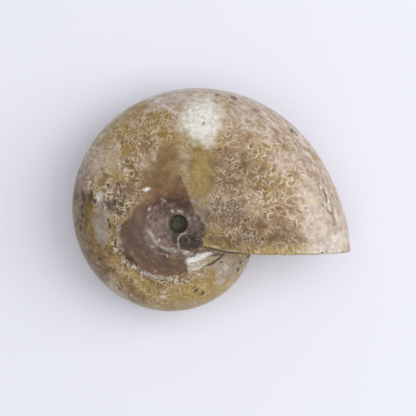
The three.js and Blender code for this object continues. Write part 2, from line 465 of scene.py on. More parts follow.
        Vein(((14.5, 13.2), (15.6, 11.9), (16.3, 10.6)), 0.19, strength=0.6, soft=0.6),
        Vein(((24.7, 1.5), (25.3, -0.6)), 0.19, strength=0.6),
        Vein(((26.4, -3.0), (26.8, -5.2)), 0.26, strength=0.5),
        Vein(((-4.5, -13.7), (-2.7, -13.3), (-1.0, -12.4)), 0.15, strength=0.62, soft=0.6),
        Vein(((-3.4, -14.4), (-1.9, -13.9), (-0.6, -13.1)), 0.17, strength=0.62, soft=0.6),
        Vein(((-10.7, -1.3), (-10.9, -3.0)), 0.3, strength=0.5, soft=0.6),
        Vein(((-9.9, -0.8), (-9.6, -3.0)), 0.35, strength=0.55, soft=0.6),
        Patch((24.0, -11.3), (0.39, 0.19), 20, strength=0.8),
        Patch((25.1, -11.1), (0.26, 0.19), strength=0.7),
        Patch((21.9, -11.4), (0.26, 0.15), strength=0.6),
    ),
    Zone.FRILL: (
        Vein(
            ((-20.7, -7.7), (-20.2, -10.8), (-18.5, -13.8), (-15.3, -15.7), (-11.4, -17.0), (-7.5, -17.5),
             (-4.0, -16.8), (-1.0, -15.1)),
            (0.65, 0.86, 0.97, 0.97, 0.97, 0.97, 0.86, 0.65), soft=0.5,
        ),
        Vein(
            ((-19.8, -4.7), (-19.6, -2.6), (-17.4, -1.1), (-14.8, 0.7)),
            (1.08, 1.3, 0.86, 0.65), strength=0.7, soft=0.5,
        ),
        Patch((-3.6, -8.6), (1.94, 1.51), strength=0.4),
        Patch((5.9, -13.8), (1.51, 1.94), strength=0.42),
        Patch((-2.5, -14.4), (2.37, 1.08), 20, strength=0.58, soft=0.6),
        Patch((3.3, -1.9), (4.53, 3.24), strength=0.66, soft=0.9),
        Patch((9.3, 0.9), (3.02, 2.16), strength=0.5, soft=0.7),
        Patch((6.3, -7.7), (6.48, 1.3), -8, strength=0.45, soft=0.7),
        Patch((-21.3, -0.6), (2.16, 2.37), strength=0.75, soft=0.6),
        Patch((3.3, -14.7), (1.94, 1.73), strength=0.42, soft=0.6),
        Patch((-19.1, 3.5), (5.61, 3.02), 20, strength=0.36, soft=0.7),
        Patch((-17.9, 7.4), (2.16, 3.89), -25, strength=0.5, soft=0.7),
    ),
    Zone.LEAVES: (
        Patch((11.1, 2.2), (13.38, 14.25), soft=0.3),
        Patch((8.5, 16.2), (8.63, 5.18), -35, strength=0.7, soft=0.5),
        Patch((25.8, 0.0), (4.75, 11.22), 12, strength=0.45, soft=0.4),
    ),
    Zone.SQUIGGLE: (
        Patch((-20.0, 6.1), (8.2, 9.93), -30, soft=0.35),
        Patch((-13.1, 15.1), (7.34, 4.75), 35, strength=0.7, soft=0.5),
        Patch((-17.9, -17.7), (6.48, 2.81), -35, strength=0.75, soft=0.5),
        Patch((-6.2, -19.2), (9.07, 2.59), strength=0.6, soft=0.6),
        Patch((4.6, -3.4), (4.32, 2.59), strength=0.6, soft=0.5),
        Patch((11.1, 17.3), (6.48, 2.16), -32, strength=0.55, soft=0.5),
    ),
    Zone.STREAK: (
        Vein(
            ((3.7, 22.0), (11.1, 18.8), (17.1, 13.8), (21.9, 8.2), (25.3, 1.7), (27.5, -5.6)),
            (1.51, 1.73, 1.94, 1.94, 2.16, 1.73), strength=0.5, soft=0.6,
        ),
        Patch((17.5, 13.0), (2.81, 1.51), -48, soft=0.5),
        Patch((25.8, -1.3), (4.32, 1.3), -66, soft=0.5),
        Vein(((-29.1, 3.0), (-28.6, -3.4), (-26.5, -10.3), (-23.0, -16.4)), 1.73, strength=0.42, soft=0.6),
    ),
}

# The minerals of the lower flank, which are guessed.
LOWER_ZONES: dict[Zone, tuple[Patch | Vein, ...]] = {
    Zone.CALCITE: (
        Patch((9.5, 9.5), (4.6, 2.8), 40),
        Patch((-19.0, 6.0), (2.6, 1.2), -50, strength=0.8),
        Patch((2.5, -13.5), (3.4, 1.4), 15),
    ),
    Zone.HAZE: (
        Patch((22.0, 0.0), (8.0, 12.0), 10, soft=0.7),
        Vein(((-25.0, 3.0), (-18.0, 15.0), (-6.0, 21.0), (6.0, 20.0)), 2.6, strength=0.6, soft=0.8),
        Patch((8.0, -6.0), (8.0, 3.0), strength=0.5, soft=0.8),
    ),
    Zone.MAUVE: (
        Vein(
            ((-3.0, 3.5), (-11.0, 2.0), (-14.5, -5.0), (-12.0, -12.0), (-4.0, -14.5), (1.5, -11.5)),
            (1.6, 2.4, 2.8, 2.8, 2.4, 1.4), soft=0.2,
        ),
        Vein(((-3.0, 3.5), (1.0, 0.5), (2.0, -4.0)), (1.6, 1.6, 0.8), soft=0.2),
    ),
    Zone.ROSE: (
        Patch((-6.8, -5.2), (7.0, 7.2), soft=0.3),
    ),
    Zone.OLIVE: (
        Patch((-8.5, 12.5), (5.0, 3.4), 30, soft=0.4),
        Patch((12.0, 2.5), (5.0, 3.0), -30, soft=0.5),
        Vein(((-25.0, -4.0), (-22.0, -13.0), (-13.0, -20.0)), 2.0, soft=0.5),
    ),
    Zone.GOLD: (
        Vein(((0.0, -8.8), (8.0, -10.4), (18.0, -11.2)), 1.4, soft=0.6),
        Patch((-2.0, 16.0), (8.0, 2.6), -8, strength=0.8, soft=0.6),
    ),
    Zone.UMBER: (
        Patch((3.0, 13.0), (3.6, 2.4), 20, strength=0.7, soft=0.5),
        Patch((-20.5, -3.0), (1.6, 4.0), strength=0.7, soft=0.6),
    ),
    Zone.CREAM: (
        Vein(((-21.0, 1.0), (-20.0, -8.0), (-16.0, -14.0)), 1.1, soft=0.4),
    ),
    Zone.SLATE: (
        Patch((-16.5, 9.0), (1.4, 0.6), 50),
        Patch((6.0, 16.5), (1.0, 0.5), -20),
        Patch((19.5, 7.5), (0.5, 1.2), 30),
        Vein(((0.5, -9.8), (4.5, -10.9), (8.4, -11.6)), 0.2),
        Patch((-8.0, -17.5), (0.9, 0.4), -30),
    ),
    Zone.FRILL: (
        Vein(((-18.0, -4.0), (-15.5, -14.0), (-5.0, -17.5), (3.0, -13.0)), 1.0, soft=0.5),
    ),
    Zone.LEAVES: (
        Patch((8.0, 4.0), (22.0, 18.0), soft=0.4),
    ),
    Zone.SQUIGGLE: (
        Patch((-17.0, 7.0), (8.0, 9.0), -30, soft=0.5),
        Patch((-16.0, -16.0), (8.0, 4.0), -40, strength=0.8, soft=0.5),
    ),
    Zone.RUSSET: (
        Patch((-9.0, 2.0), (4.0, 2.4), 20, soft=0.5),
    ),
    Zone.BUFF: (
        Patch((22.0, 2.0), (2.0, 1.1), -40, strength=0.8),
        Patch((19.0, -2.0), (0.9, 1.8), 15, strength=0.7),
    ),
    Zone.STREAK: (
        Vein(((-27.0, 2.0), (-20.0, 17.0), (-2.0, 23.0), (16.0, 14.0), (27.0, -4.0)), 2.0, soft=0.6),
    ),
}

# About how far each zone's outline wanders, in millimetres.
WANDER: dict[Zone, float] = {
    Zone.CALCITE: 0.5,
    Zone.HAZE: 2.6,
    Zone.MAUVE: 0.7,
    Zone.ROSE: 0.9,
    Zone.OLIVE: 1.3,
    Zone.GOLD: 1.6,
    Zone.UMBER: 1.8,
    Zone.CREAM: 0.9,
    Zone.SLATE: 0.18,
    Zone.FRILL: 0.7,
    Zone.LEAVES: 2.0,
    Zone.SQUIGGLE: 2.0,
    Zone.STREAK: 1.2,
    Zone.RUSSET: 1.2,
    Zone.BUFF: 0.4,
}

# The seed of the noise that they wander by, and the scale and amount of each of its layers.
WANDER_SEED = 5
WANDER_OCTAVES: tuple[Pair, ...] = ((0.16, 1.0), (0.42, 0.55), (1.1, 0.3))

# How strongly the sutures show where no zone says otherwise.
PLAIN_COVER: dict[Zone, float] = {Zone.LEAVES: 0.5, Zone.SQUIGGLE: 0.22}


@dataclass(frozen=True)
class LeafRing:
    """A ring of suture leaves on the map of the upper flank.

    Attributes:
        at: its middle.
        reach: from there to the leaves' tips.
    """

    at: Point
    reach: float


# The leaf rings of the upper flank that are placed one by one to match the photo; rows of others fill the
# rest.
UPPER_RINGS: tuple[LeafRing, ...] = (
    LeafRing((5.9, -8.6), 2.59),
    LeafRing((12.8, -8.8), 3.02),
    LeafRing((18.0, -6.5), 2.59),
    LeafRing((1.4, -7.3), 2.16),
    LeafRing((5.2, -3.0), 2.59),
    LeafRing((9.8, -2.4), 2.59),
    LeafRing((14.7, -3.2), 2.81),
    LeafRing((8.5, 2.2), 2.81),
    LeafRing((3.7, 1.3), 2.37),
    LeafRing((13.4, 2.4), 2.81),
    LeafRing((7.6, 7.6), 2.81),
    LeafRing((12.4, 7.4), 2.81),
    LeafRing((3.7, 10.6), 2.37),
    LeafRing((3.9, 6.1), 2.16),
    LeafRing((10.2, 12.5), 2.81),
    LeafRing((15.8, 11.7), 2.81),
    LeafRing((5.2, 15.1), 2.16),
    LeafRing((-0.8, 1.3), 1.73),
    LeafRing((18.8, -1.1), 3.02),
    LeafRing((18.2, 5.2), 3.24),
    LeafRing((23.2, -4.7), 3.45),
    LeafRing((23.2, 2.2), 3.45),
    LeafRing((-20.2, 4.8), 4.32),
    LeafRing((-24.5, 7.4), 3.02),
    LeafRing((-18.3, 10.4), 3.24),
    LeafRing((-17.4, 2.2), 2.37),
    LeafRing((-21.5, -1.3), 2.81),
    LeafRing((-22.4, 12.5), 3.02),
    LeafRing((-16.1, 14.9), 3.02),
    LeafRing((-12.0, 17.7), 3.02),
    LeafRing((-18.3, 17.7), 2.81),
    LeafRing((-20.0, -7.7), 2.16),
    LeafRing((-20.2, -12.3), 2.37),
    LeafRing((-17.2, -15.7), 2.59),
    LeafRing((-12.9, -17.9), 2.59),
    LeafRing((-8.1, -18.8), 2.59),
    LeafRing((-3.2, -17.2), 2.37),
    LeafRing((-3.8, -8.6), 1.94),
    LeafRing((3.3, -14.7), 2.16),
    LeafRing((1.1, -0.6), 1.73),
    LeafRing((2.4, -3.4), 1.73),
    LeafRing((4.2, -1.1), 1.73),
    LeafRing((7.2, -0.4), 1.73),
)


@dataclass
class Coil:
    """The form of the shell: a flat coil that grows by the same share in every turn.

    Angles run back along the coil from +X, a sweep runs back from the aperture, and a place across
    the whorl is its distance from the coil's axis. The fields down to lean_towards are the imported
    part's own sizes. The others round the lip of the aperture's cut, hollow its face a little, and
    say how finely the coil is wound; a pair of row counts is for the lower and the upper flank.
    """

    venter_radius: float = 34.9
    whorl_expansion: float = 2.2
    lip_flare: float = 0.05
    lip_flare_span: float = math.radians(20.0)
    aperture_offset: float = 6.4
    half_width: float = 12.0
    width_growth: float = 0.33
    widest_place: float = 0.4
    flank_fall: float = 0.1
    venter_fullness: float = 2.15
    dish_radius: float = 8.0
    dish_height: float = 7.0
    pit_radius: float = 2.1
    pit_wall: float = 0.7
    pit_depth: float = 2.0
    seam_grind: float = 2.2
    seam_grind_span: float = 0.7
    seam_grind_inner: float = 7.0
    seam_grind_outer: float = 15.0
    lean: float = math.radians(6.0)
    lean_towards: float = math.radians(213.0)
    lip_round: float = 0.45
    lip_full: float = 1.6
    cut_hollow: float = 0.5
    hollow_span: float = 6.0
    axis_clear: float = 1.0
    columns: int = 540
    column_ease: float = 1.3
    cut_columns: int = 26
    pit_rows: int = 3
    wall_rows: int = 6
    dish_rows: tuple[int, int] = (8, 26)
    flank_rows: tuple[int, int] = (30, 74)
    venter_passes: int = 12

    def growth(self) -> float:
        """The coil's growth for each radian."""
        return math.log(self.whorl_expansion) / TURN

    def aperture_angle(self, distance: np.ndarray) -> np.ndarray:
        """How far the aperture's edge is swung back from +X at a distance from the axis."""
        return -np.arctan2(self.aperture_offset, distance)

    def venter(self, angle: np.ndarray) -> np.ndarray:
        """The venter's distance from the axis at an angle."""
        flare = 1.0 - smooth(angle, -self.lip_flare_span, self.lip_flare_span)
        return self.venter_radius * np.exp(-self.growth() * angle) * (1.0 + self.lip_flare * flare)

    def venter_on_sweep(self, sweep: float) -> float:
        """Finds where the venter crosses a sweep line.

        Args:
            sweep: the sweep line, in radians back from the aperture.

        Returns:
            The venter's distance from the axis there.
        """
        radius = np.array(self.venter_radius)
        for _ in range(self.venter_passes):
            radius = self.venter(self.aperture_angle(radius) + sweep)
        return float(radius)

    def flank_height(self, distance: np.ndarray, angle: np.ndarray) -> np.ndarray:
        """Gives the unground flank's height over the coil's middle plane.

        Args:
            distance: distances from the axis.
            angle: the angle of each.

        Returns:
            The height of each.
        """
        place = distance / self.venter(angle)
        inward = np.clip((self.widest_place - place) / self.widest_place, 0.0, 1.0)
        outward = np.clip((place - self.widest_place) / (1.0 - self.widest_place), 0.0, 1.0)
        share = (1.0 - self.flank_fall * inward**2) * np.sqrt(1.0 - outward**self.venter_fullness)
        return self.half_width * np.exp(-self.growth() * self.width_growth * angle) * share

    def surface_height(self, distance: np.ndarray, sweep: float) -> np.ndarray:
        """Gives the finished surface's height over the middle plane, with its dish and pit.

        Args:
            distance: distances from the axis.
            sweep: the sweep line that they lie on.

        Returns:
            The height of each.
        """
        flank = self.flank_height(distance, self.aperture_angle(distance) + sweep)
        near = math.exp(-sweep / self.seam_grind_span)
        ground = 1.0 - smooth(distance, self.seam_grind_inner, self.seam_grind_outer)
        dish = smooth(distance, self.pit_radius, self.dish_radius)
        height = self.dish_height * (1.0 - dish) + (flank - self.seam_grind * near * ground) * dish
        wall = smooth(distance, self.pit_radius - self.pit_wall, self.pit_radius)
        return height - self.pit_depth * (1.0 - wall)

    def flank_distances(self, reach: float, side: Side) -> np.ndarray:
        """Spaces the rows of one flank from the axis to the venter.

        Args:
            reach: the venter's distance from the axis.
            side: the flank.

        Returns:
            The rows' distances from the axis.
        """
        floor = self.pit_radius - self.pit_wall
        ease = np.sin(0.5 * math.pi * np.linspace(0.0, 1.0, self.flank_rows[side.value] + 1))
        return np.concatenate(
            (
                np.linspace(0.0, floor, self.pit_rows, endpoint=False),
                np.linspace(floor, self.pit_radius, self.wall_rows, endpoint=False),
                np.linspace(self.pit_radius, self.dish_radius, self.dish_rows[side.value], endpoint=False),
                self.dish_radius + (reach - self.dish_radius) * ease,
            )
        )

    def section(self, sweep: float) -> np.ndarray:
        """Draws a whole section: out along the lower flank, round the venter, back along the upper.

        Args:
            sweep: the sweep line that it lies on.

        Returns:
            Its points as distance from the axis and height, one row each.
        """
        reach = self.venter_on_sweep(sweep)
        below = self.flank_distances(reach, Side.LOWER)
        above = self.flank_distances(reach, Side.UPPER)[-2::-1]
        lower = np.stack((below, -self.surface_height(below, sweep)), axis=1)
        upper = np.stack((above, self.surface_height(above, sweep)), axis=1)
        lower[-1, 1] = 0.0
        points = np.concatenate((lower, upper))
        return points - self.lip_inset(points, sweep)

    def lip_inset(self, points: np.ndarray, sweep: float) -> np.ndarray:
        """Rounds the cut edge: how far each point of a section near the aperture is drawn in.

        Args:
            points: the section's points.
            sweep: the sweep line that it lies on.

        Returns:
            The step inwards of each point.
        """
        from_cut = np.clip(points[:, 0] * sweep, 0.0, self.lip_round)
        drop = self.lip_round - np.sqrt(self.lip_round**2 - (self.lip_round - from_cut) ** 2)
        drop *= smooth(points[:, 0], self.dish_radius, self.lip_full * self.dish_radius)
        run = np.gradient(points, axis=0)
        outward = np.stack((run[:, 1], -run[:, 0]), axis=1)
        outward /= np.maximum(np.linalg.norm(outward, axis=1), TINY)[:, None]
        return outward * drop[:, None]

    def venter_row(self) -> int:
        """The row of a section that lies on the venter."""
        return self.pit_rows + self.wall_rows + self.dish_rows[0] + self.flank_rows[0]

    def wind(self) -> tuple[np.ndarray, np.ndarray, np.ndarray]:
        """Winds the sections into the coil and closes it with the aperture's cut face.

        Returns:
            The coil's points, their places along and across the whorl on its unrolled surface, and
            how far each lies inside the rim of the cut face, all by column and row.
        """
        sweeps = TURN * np.linspace(0.0, 1.0, self.columns + 1) ** self.column_ease
        sections = [self.section(float(sweep)) for sweep in sweeps]
        columns = [(section, sweep, np.zeros(len(section))) for section, sweep in zip(sections, sweeps)]
        width = np.linalg.norm(sections[0] - sections[-1], axis=1)
        for share in np.linspace(0.0, 1.0, self.cut_columns + 1)[1:]:
            section = sections[-1] + (sections[0] - sections[-1]) * share
            bow = 1.0 - (2.0 * share - 1.0) ** 2
            hollow = bow * self.cut_hollow * np.clip(width / self.hollow_span, 0.0, 1.0)
            back = hollow / np.maximum(section[:, 0], self.axis_clear)
            columns.append((section, back, width * (1.0 - share)))
        points, unrolled, inside = [], [], []
        for section, sweep, depth in columns:
            distance, height = section.T
            angle = self.aperture_angle(distance) + sweep
            points.append(np.stack((distance * np.cos(angle), distance * np.sin(angle), height), axis=1))
            unrolled.append(np.stack((angle, self.across(section)), axis=1))
            inside.append(depth)
        return np.array(points), np.array(unrolled), np.array(inside)

    def across(self, section: np.ndarray) -> np.ndarray:
        """Measures a section on the unrolled surface, where a step counts by its share of the distance.

        Args:
            section: the section's points.

        Returns:
            Each point's place from the venter, positive on the upper flank.
        """
        step = np.linalg.norm(np.diff(section, axis=0), axis=1)
        middle = 0.5 * (section[1:, 0] + section[:-1, 0])
        place = np.concatenate(([0.0], np.cumsum(step / np.maximum(middle, 0.5 * self.pit_radius))))
        return place - place[self.venter_row()]

    def laid_down(self, points: np.ndarray, low: Vector, high: Vector) -> np.ndarray:
        """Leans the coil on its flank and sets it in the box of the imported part.

        Args:
            points: the wound coil's points, one row each.
            low: the box's lowest corner, in metres.
            high: the box's highest corner, in metres.

        Returns:
            The points in place, in metres, with those under the resting face drawn up to it.
        """
        tip_axis = Vector((-math.sin(self.lean_towards), math.cos(self.lean_towards), 0.0))
        tip = np.array(Matrix.Rotation(self.lean, 3, tip_axis))
        placed = points @ tip.T * MM
        middle = 0.5 * (placed.min(axis=0) + placed.max(axis=0))
        target = 0.5 * (np.array(low) + np.array(high))
        placed[:, :2] += (target - middle)[:2]
        placed[:, 2] += high.z - placed[:, 2].max()
        placed[:, 2] = np.maximum(placed[:, 2], low.z)
        return placed


@dataclass(frozen=True)
class Clouds:
    """Cloudy noise that is eased into a mask.

    Attributes:
        scale: how fine the clouds are.
        low: the noise that counts as none.
        high: the noise that counts as full.
        detail: how many finer layers the clouds have.
        roughness: how strong those are.
    """

    scale: float
    low: float
    high: float
    detail: float = 2.0
    roughness: float = 0.5


# The clouds and the flecks of a mineral whose grain is 1.
MOTTLE = Clouds(1.3, 0.36, 0.64, 5.0, 0.6)
FLECKS = Clouds(3.1, 0.78, 0.84, 4.0, 0.65)

# How far the most flecks lower their clouds' start, and how far a fleck hides what it lies in.
FLECK_SPREAD = 0.4
FLECK_STRENGTH = 0.8


class Bench:
    """Lays shader nodes in one tree, and wires each input to a socket or sets it to a value."""

    def __init__(self, tree: bpy.types.NodeTree) -> None:
        """Takes the tree to work in."""
        self.tree = tree

    def node(self, kind: str, feeds: dict[str | int, Feed], **settings: object) -> bpy.types.Node:
        """Adds a node.

        Args:
            kind: the node's type, without its common first word.
            feeds: what goes into its inputs, by name or number.
            settings: its own settings.

        Returns:
            The node.
        """
        node = self.tree.nodes.new("ShaderNode" + kind)
        for name, value in settings.items():
            setattr(node, name, value)
        for socket, value in feeds.items():
            self.feed(node.inputs[socket], value)
        return node

    def feed(self, socket: Socket, value: Feed) -> None:
        """Wires a socket to another, or sets it to a plain value.

        Args:
            socket: the input to feed.
            value: the socket or value that goes into it.
        """
        if isinstance(value, Socket):
            self.tree.links.new(value, socket)
        else:
            socket.default_value = value

    def group(self, tree: bpy.types.NodeTree, feeds: dict[str, Feed]) -> Sockets:
        """Places a node group with its inputs fed, and gives its outputs."""
        return self.node("Group", feeds, node_tree=tree).outputs

    def math(self, operation: str, first: Feed, second: Feed = 0.0, third: Feed = 0.0) -> Socket:
        """Works out a number."""
        return self.node("Math", {0: first, 1: second, 2: third}, operation=operation).outputs[0]

    def times(self, first: Feed, *others: Feed) -> Socket:
        """Multiplies numbers by one another."""
        return reduce(lambda product, other: self.math("MULTIPLY", product, other), others, first)

    def ramp(self, value: Feed, slope: Feed, start: Feed) -> Socket:
        """Multiplies a number by a slope and adds a start."""
        return self.math("MULTIPLY_ADD", value, slope, start)

    def vector(self, operation: str, first: Feed, second: Feed) -> Socket:
        """Works out a vector from two."""
        return self.node("VectorMath", {0: first, 1: second}, operation=operation).outputs["Vector"]

    def scaled(self, vector: Feed, scale: Feed) -> Socket:
        """Makes a vector longer or shorter."""
        return self.node("VectorMath", {0: vector, "Scale": scale}, operation="SCALE").outputs["Vector"]

    def length(self, vector: Feed) -> Socket:
        """Measures a vector."""
        return self.node("VectorMath", {0: vector}, operation="LENGTH").outputs["Value"]

    def blend(self, share: Feed, first: Feed, second: Feed) -> Socket:
        """Blends two colours."""
        return self.node("Mix", {"Factor": share, 6: first, 7: second}, data_type="RGBA").outputs[2]

    def shaded(self, colour: Feed, value: Feed) -> Socket:
        """Makes a colour lighter or darker."""
        return self.node("HueSaturation", {"Value": value, "Color": colour}).outputs["Color"]

    def ease(self, value: Feed, low: Feed, high: Feed) -> Socket:
        """Eases a number from 0 at low to 1 at high."""
        feeds = {"Value": value, 1: low, 2: high}
        return self.node("MapRange", feeds, interpolation_type="SMOOTHSTEP").outputs["Result"]

    def noise(self, place: Feed, scale: Feed, detail: float = 2.0, roughness: float = 0.5) -> bpy.types.Node:
        """Adds cloudy noise."""
        feeds = {"Vector": place, "Scale": scale, "Detail": detail, "Roughness": roughness}
        return self.node("TexNoise", feeds)

    def cloud(self, place: Feed, scale: Feed, detail: float = 2.0, roughness: float = 0.5) -> Socket:
        """Gives the strength of cloudy noise."""
        return self.noise(place, scale, detail, roughness).outputs["Fac"]

    def clouds(self, place: Feed, look: Clouds) -> Socket:
        """Gives a mask of clouds."""
        return self.ease(self.cloud(place, look.scale, look.detail, look.roughness), look.low, look.high)

    def stirred(self, place: Feed, by: Feed, scale: float, amount: float) -> Socket:
        """Stirs a pattern's place with noise.

        Args:
            place: the pattern's place.
            by: the place that the noise is read at.
            scale: the noise's scale.
            amount: how far it moves the pattern.

        Returns:
            The stirred place.
        """
        swing = self.vector("SUBTRACT", self.noise(by, scale).outputs["Color"], NOISE_MIDDLE)
        return self.vector("ADD", place, self.scaled(swing, amount))

    def mark(self, name: str) -> Socket:
        """Reads one of the mesh's own marks."""
        return self.node("Attribute", {}, attribute_name=name).outputs["Fac"]

    def unrolled(self, name: str) -> Socket:
        """Reads one of the mesh's maps."""
        return self.node("UVMap", {}, uv_map=name).outputs["UV"]

    def millimetres(self) -> Socket:
        """Reads the place on the stone in millimetres."""
        return self.scaled(self.node("TexCoord", {}).outputs["Object"], 1.0 / MM)


@dataclass(frozen=True)
class LeafShape:
    """The shape of the leaves in a suture ring, where the ring's reach is 1.

    Attributes:
        turns: how far a ring's seed turns it, in leaves.
        tilt: how far a leaf may lean, as a share of its sector.
        tip: from the middle to the tip of the shortest leaf.
        tip_spread: how much longer the longest one is.
        stem: half the way from the ring's middle to where a leaf starts.
        girth: half the narrowest leaf's width, times the number of leaves.
        girth_spread: how much wider the widest one is.
        swell: a leaf's share of its width at its middle, how that grows outwards, and its least.
        nested: how far inside its outline the second line lies.
        nested_strength: how strong that line is.
        line: how far from its middle a line has faded out, and is still full, in line widths.
        drawn: the random number from which a leaf starts to show, and from which it shows fully.
        clear: how far from the middle the lines start to show, and show fully.
        halo: how far outside the outline the halo has faded out, and is still full.
        halo_inside: where the halo starts at the outline, and is full.
        inside: where inside the outline the leaf's own colour is full.
    """

    turns: float = 7.0
    tilt: float = 0.15
    tip: float = 0.62
    tip_spread: float = 0.5
    stem: float = 0.09
    girth: float = 1.15
    girth_spread: float = 0.7
    swell: Triple = (0.8, 0.34, 0.2)
    nested: float = 0.55
    nested_strength: float = 0.7
    line: Pair = (1.9, 0.4)
    drawn: Pair = (0.16, 0.3)
    clear: Pair = (0.16, 0.5)
    halo: Pair = (0.7, 0.05)
    halo_inside: Pair = (-0.1, 0.05)
    inside: float = -0.5


class NodeGroups:
    """The effects that the layers of the flank share."""

    def __init__(self) -> None:
        """Builds every group."""
        self.ragged_edge = self.build_ragged_edge()
        self.leaf_ring = self.build_leaf_ring(LeafShape())
        self.leaf_field = self.build_leaf_field()
        self.squiggles = self.build_squiggles()

    def start(
        self, name: str, inputs: dict[str, str], outputs: tuple[str, ...]
    ) -> tuple[Bench, Sockets, Sockets]:
        """Opens a node group.

        Args:
            name: the group's name.
            inputs: its inputs and the kind of each.
            outputs: its outputs, all plain numbers.

        Returns:
            A bench in the group, the sockets that give its inputs, and those that take its outputs.
        """
        tree = bpy.data.node_groups.new(name, "ShaderNodeTree")
        for label, kind in inputs.items():
            tree.interface.new_socket(label, in_out="INPUT", socket_type="NodeSocket" + kind)
        for label in outputs:
            tree.interface.new_socket(label, in_out="OUTPUT", socket_type="NodeSocketFloat")
        taken = tree.nodes.new("NodeGroupInput").outputs
        given = tree.nodes.new("NodeGroupOutput").inputs
        return Bench(tree), taken, given

    def build_ragged_edge(self, detail: float = 4.0, roughness: float = 0.62) -> bpy.types.NodeTree:
        """Builds the ragged edge: a zone's cover broken up by noise.

        Args:
            detail: how many finer layers the noise has.
            roughness: how strong those are.

        Returns:
            The group, which gives a mask.
        """
        inputs = {"Cover": "Float", "Place": "Vector", "Grain": "Float", "Ragged": "Float", "Soft": "Float"}
        bench, taken, given = self.start("ragged_edge", inputs, ("Mask",))
        cloud = bench.cloud(taken["Place"], taken["Grain"], detail, roughness)
        swing = bench.times(bench.math("SUBTRACT", cloud, 0.5), taken["Ragged"])
        low = bench.math("SUBTRACT", 0.5, taken["Soft"])
        high = bench.math("ADD", 0.5, taken["Soft"])
        mask = bench.ease(bench.math("ADD", taken["Cover"], swing), low, high)
        present = bench.ease(taken["Cover"], *COVER_SHOWN)
        bench.feed(given["Mask"], bench.times(mask, present))
        return bench.tree

    def build_leaf_ring(self, leaf: LeafShape) -> bpy.types.NodeTree:
        """Builds a ring of suture leaves round the middle of a map.

        Args:
            leaf: the shape of its leaves.

        Returns:
            The group, which gives the leaves' outline, their inside and the halo round them.
        """
        inputs = {"Place": "Vector", "Seed": "Float", "Leaves": "Float", "Line": "Float"}
        bench, taken, given = self.start("leaf_ring", inputs, LEAF_MASKS)
        flat = bench.vector("MULTIPLY", taken["Place"], FLAT)
        split = bench.node("SeparateXYZ", {0: flat}).outputs
        reach = bench.length(flat)
        turn = bench.math("ARCTAN2", split[1], split[0])
        sector = bench.math("DIVIDE", TURN, taken["Leaves"])
        count = bench.ramp(taken["Seed"], leaf.turns, bench.math("DIVIDE", turn, sector))
        whole = bench.math("FLOOR", count)
        lean = bench.times(bench.math("SUBTRACT", bench.math("SUBTRACT", count, whole), 0.5), sector)
        number = bench.math("FLOORED_MODULO", whole, taken["Leaves"])
        label = bench.node("CombineXYZ", {0: number, 1: taken["Seed"]}).outputs[0]
        dice = bench.node("TexWhiteNoise", {0: label}, noise_dimensions="2D").outputs["Color"]
        chance, present, girth = bench.node("SeparateColor", {0: dice}).outputs
        tilt = bench.ramp(bench.ramp(girth, 2.0 * leaf.tilt, -leaf.tilt), sector, lean)
        along = bench.times(reach, bench.math("COSINE", tilt))
        aside = bench.times(reach, bench.math("SINE", tilt))
        tip = bench.ramp(chance, leaf.tip_spread, leaf.tip)
        half = bench.ramp(tip, 0.5, -leaf.stem)
        middle = bench.ramp(tip, 0.5, leaf.stem)
        width = bench.math("DIVIDE", bench.ramp(girth, leaf.girth_spread, leaf.girth), taken["Leaves"])
        out = bench.math("DIVIDE", bench.math("SUBTRACT", along, middle), half)
        swell, growth, least = leaf.swell
        swollen = bench.math("MAXIMUM", bench.ramp(out, growth, swell), least)
        side = bench.math("DIVIDE", aside, bench.times(width, swollen))
        round_leaf = bench.math("SQRT", bench.ramp(out, out, bench.times(side, side)))
        gap = bench.math("SUBTRACT", round_leaf, 1.0)
        thin = bench.times(bench.math("ABSOLUTE", gap), width)
        nested = bench.times(bench.math("ABSOLUTE", bench.math("ADD", gap, leaf.nested)), width)
        wide, narrow = (bench.times(taken["Line"], share) for share in leaf.line)
        inner = bench.times(bench.ease(nested, wide, narrow), bench.times(chance, leaf.nested_strength))
        outline = bench.math("MAXIMUM", bench.ease(thin, wide, narrow), inner)
        drawn = bench.ease(present, *leaf.drawn)
        halo = bench.times(bench.ease(gap, *leaf.halo), bench.ease(gap, *leaf.halo_inside))
        bench.feed(given["Outline"], bench.times(outline, bench.ease(reach, *leaf.clear), drawn))
        bench.feed(given["Inside"], bench.times(bench.ease(gap, 0.0, leaf.inside), drawn))
        bench.feed(given["Halo"], bench.times(halo, drawn))
        return bench.tree

    def build_leaf_field(
        self, looseness: float = 0.85, crowding: float = 1.35, more_leaves: float = 4.0
    ) -> bpy.types.NodeTree:
        """Builds a field of leaf rings, one in each cell of a loose net.

        Args:
            looseness: how far the rings stray from the net's own middles.
            crowding: how many times a ring's reach fits into a cell.
            more_leaves: how many leaves more the fullest ring has.

        Returns:
            The group, which gives the same as a single ring.
        """
        inputs = {"Place": "Vector", "Cells": "Float", "Leaves": "Float", "Line": "Float"}
        bench, taken, given = self.start("leaf_field", inputs, LEAF_MASKS)
        feeds = {"Vector": taken["Place"], "Scale": taken["Cells"], "Randomness": looseness}
        cells = bench.node("TexVoronoi", feeds, voronoi_dimensions="2D").outputs
        offset = bench.vector("SUBTRACT", taken["Place"], cells["Position"])
        place = bench.scaled(offset, bench.times(taken["Cells"], crowding))
        chance = bench.node("SeparateColor", {0: cells["Color"]}).outputs
        leaves = bench.math("FLOOR", bench.ramp(chance[1], more_leaves, taken["Leaves"]))
        feeds = {"Place": place, "Seed": chance[0], "Leaves": leaves, "Line": taken["Line"]}
        ring = bench.group(self.leaf_ring, feeds)
        for name in LEAF_MASKS:
            bench.feed(given[name], ring[name])
        return bench.tree

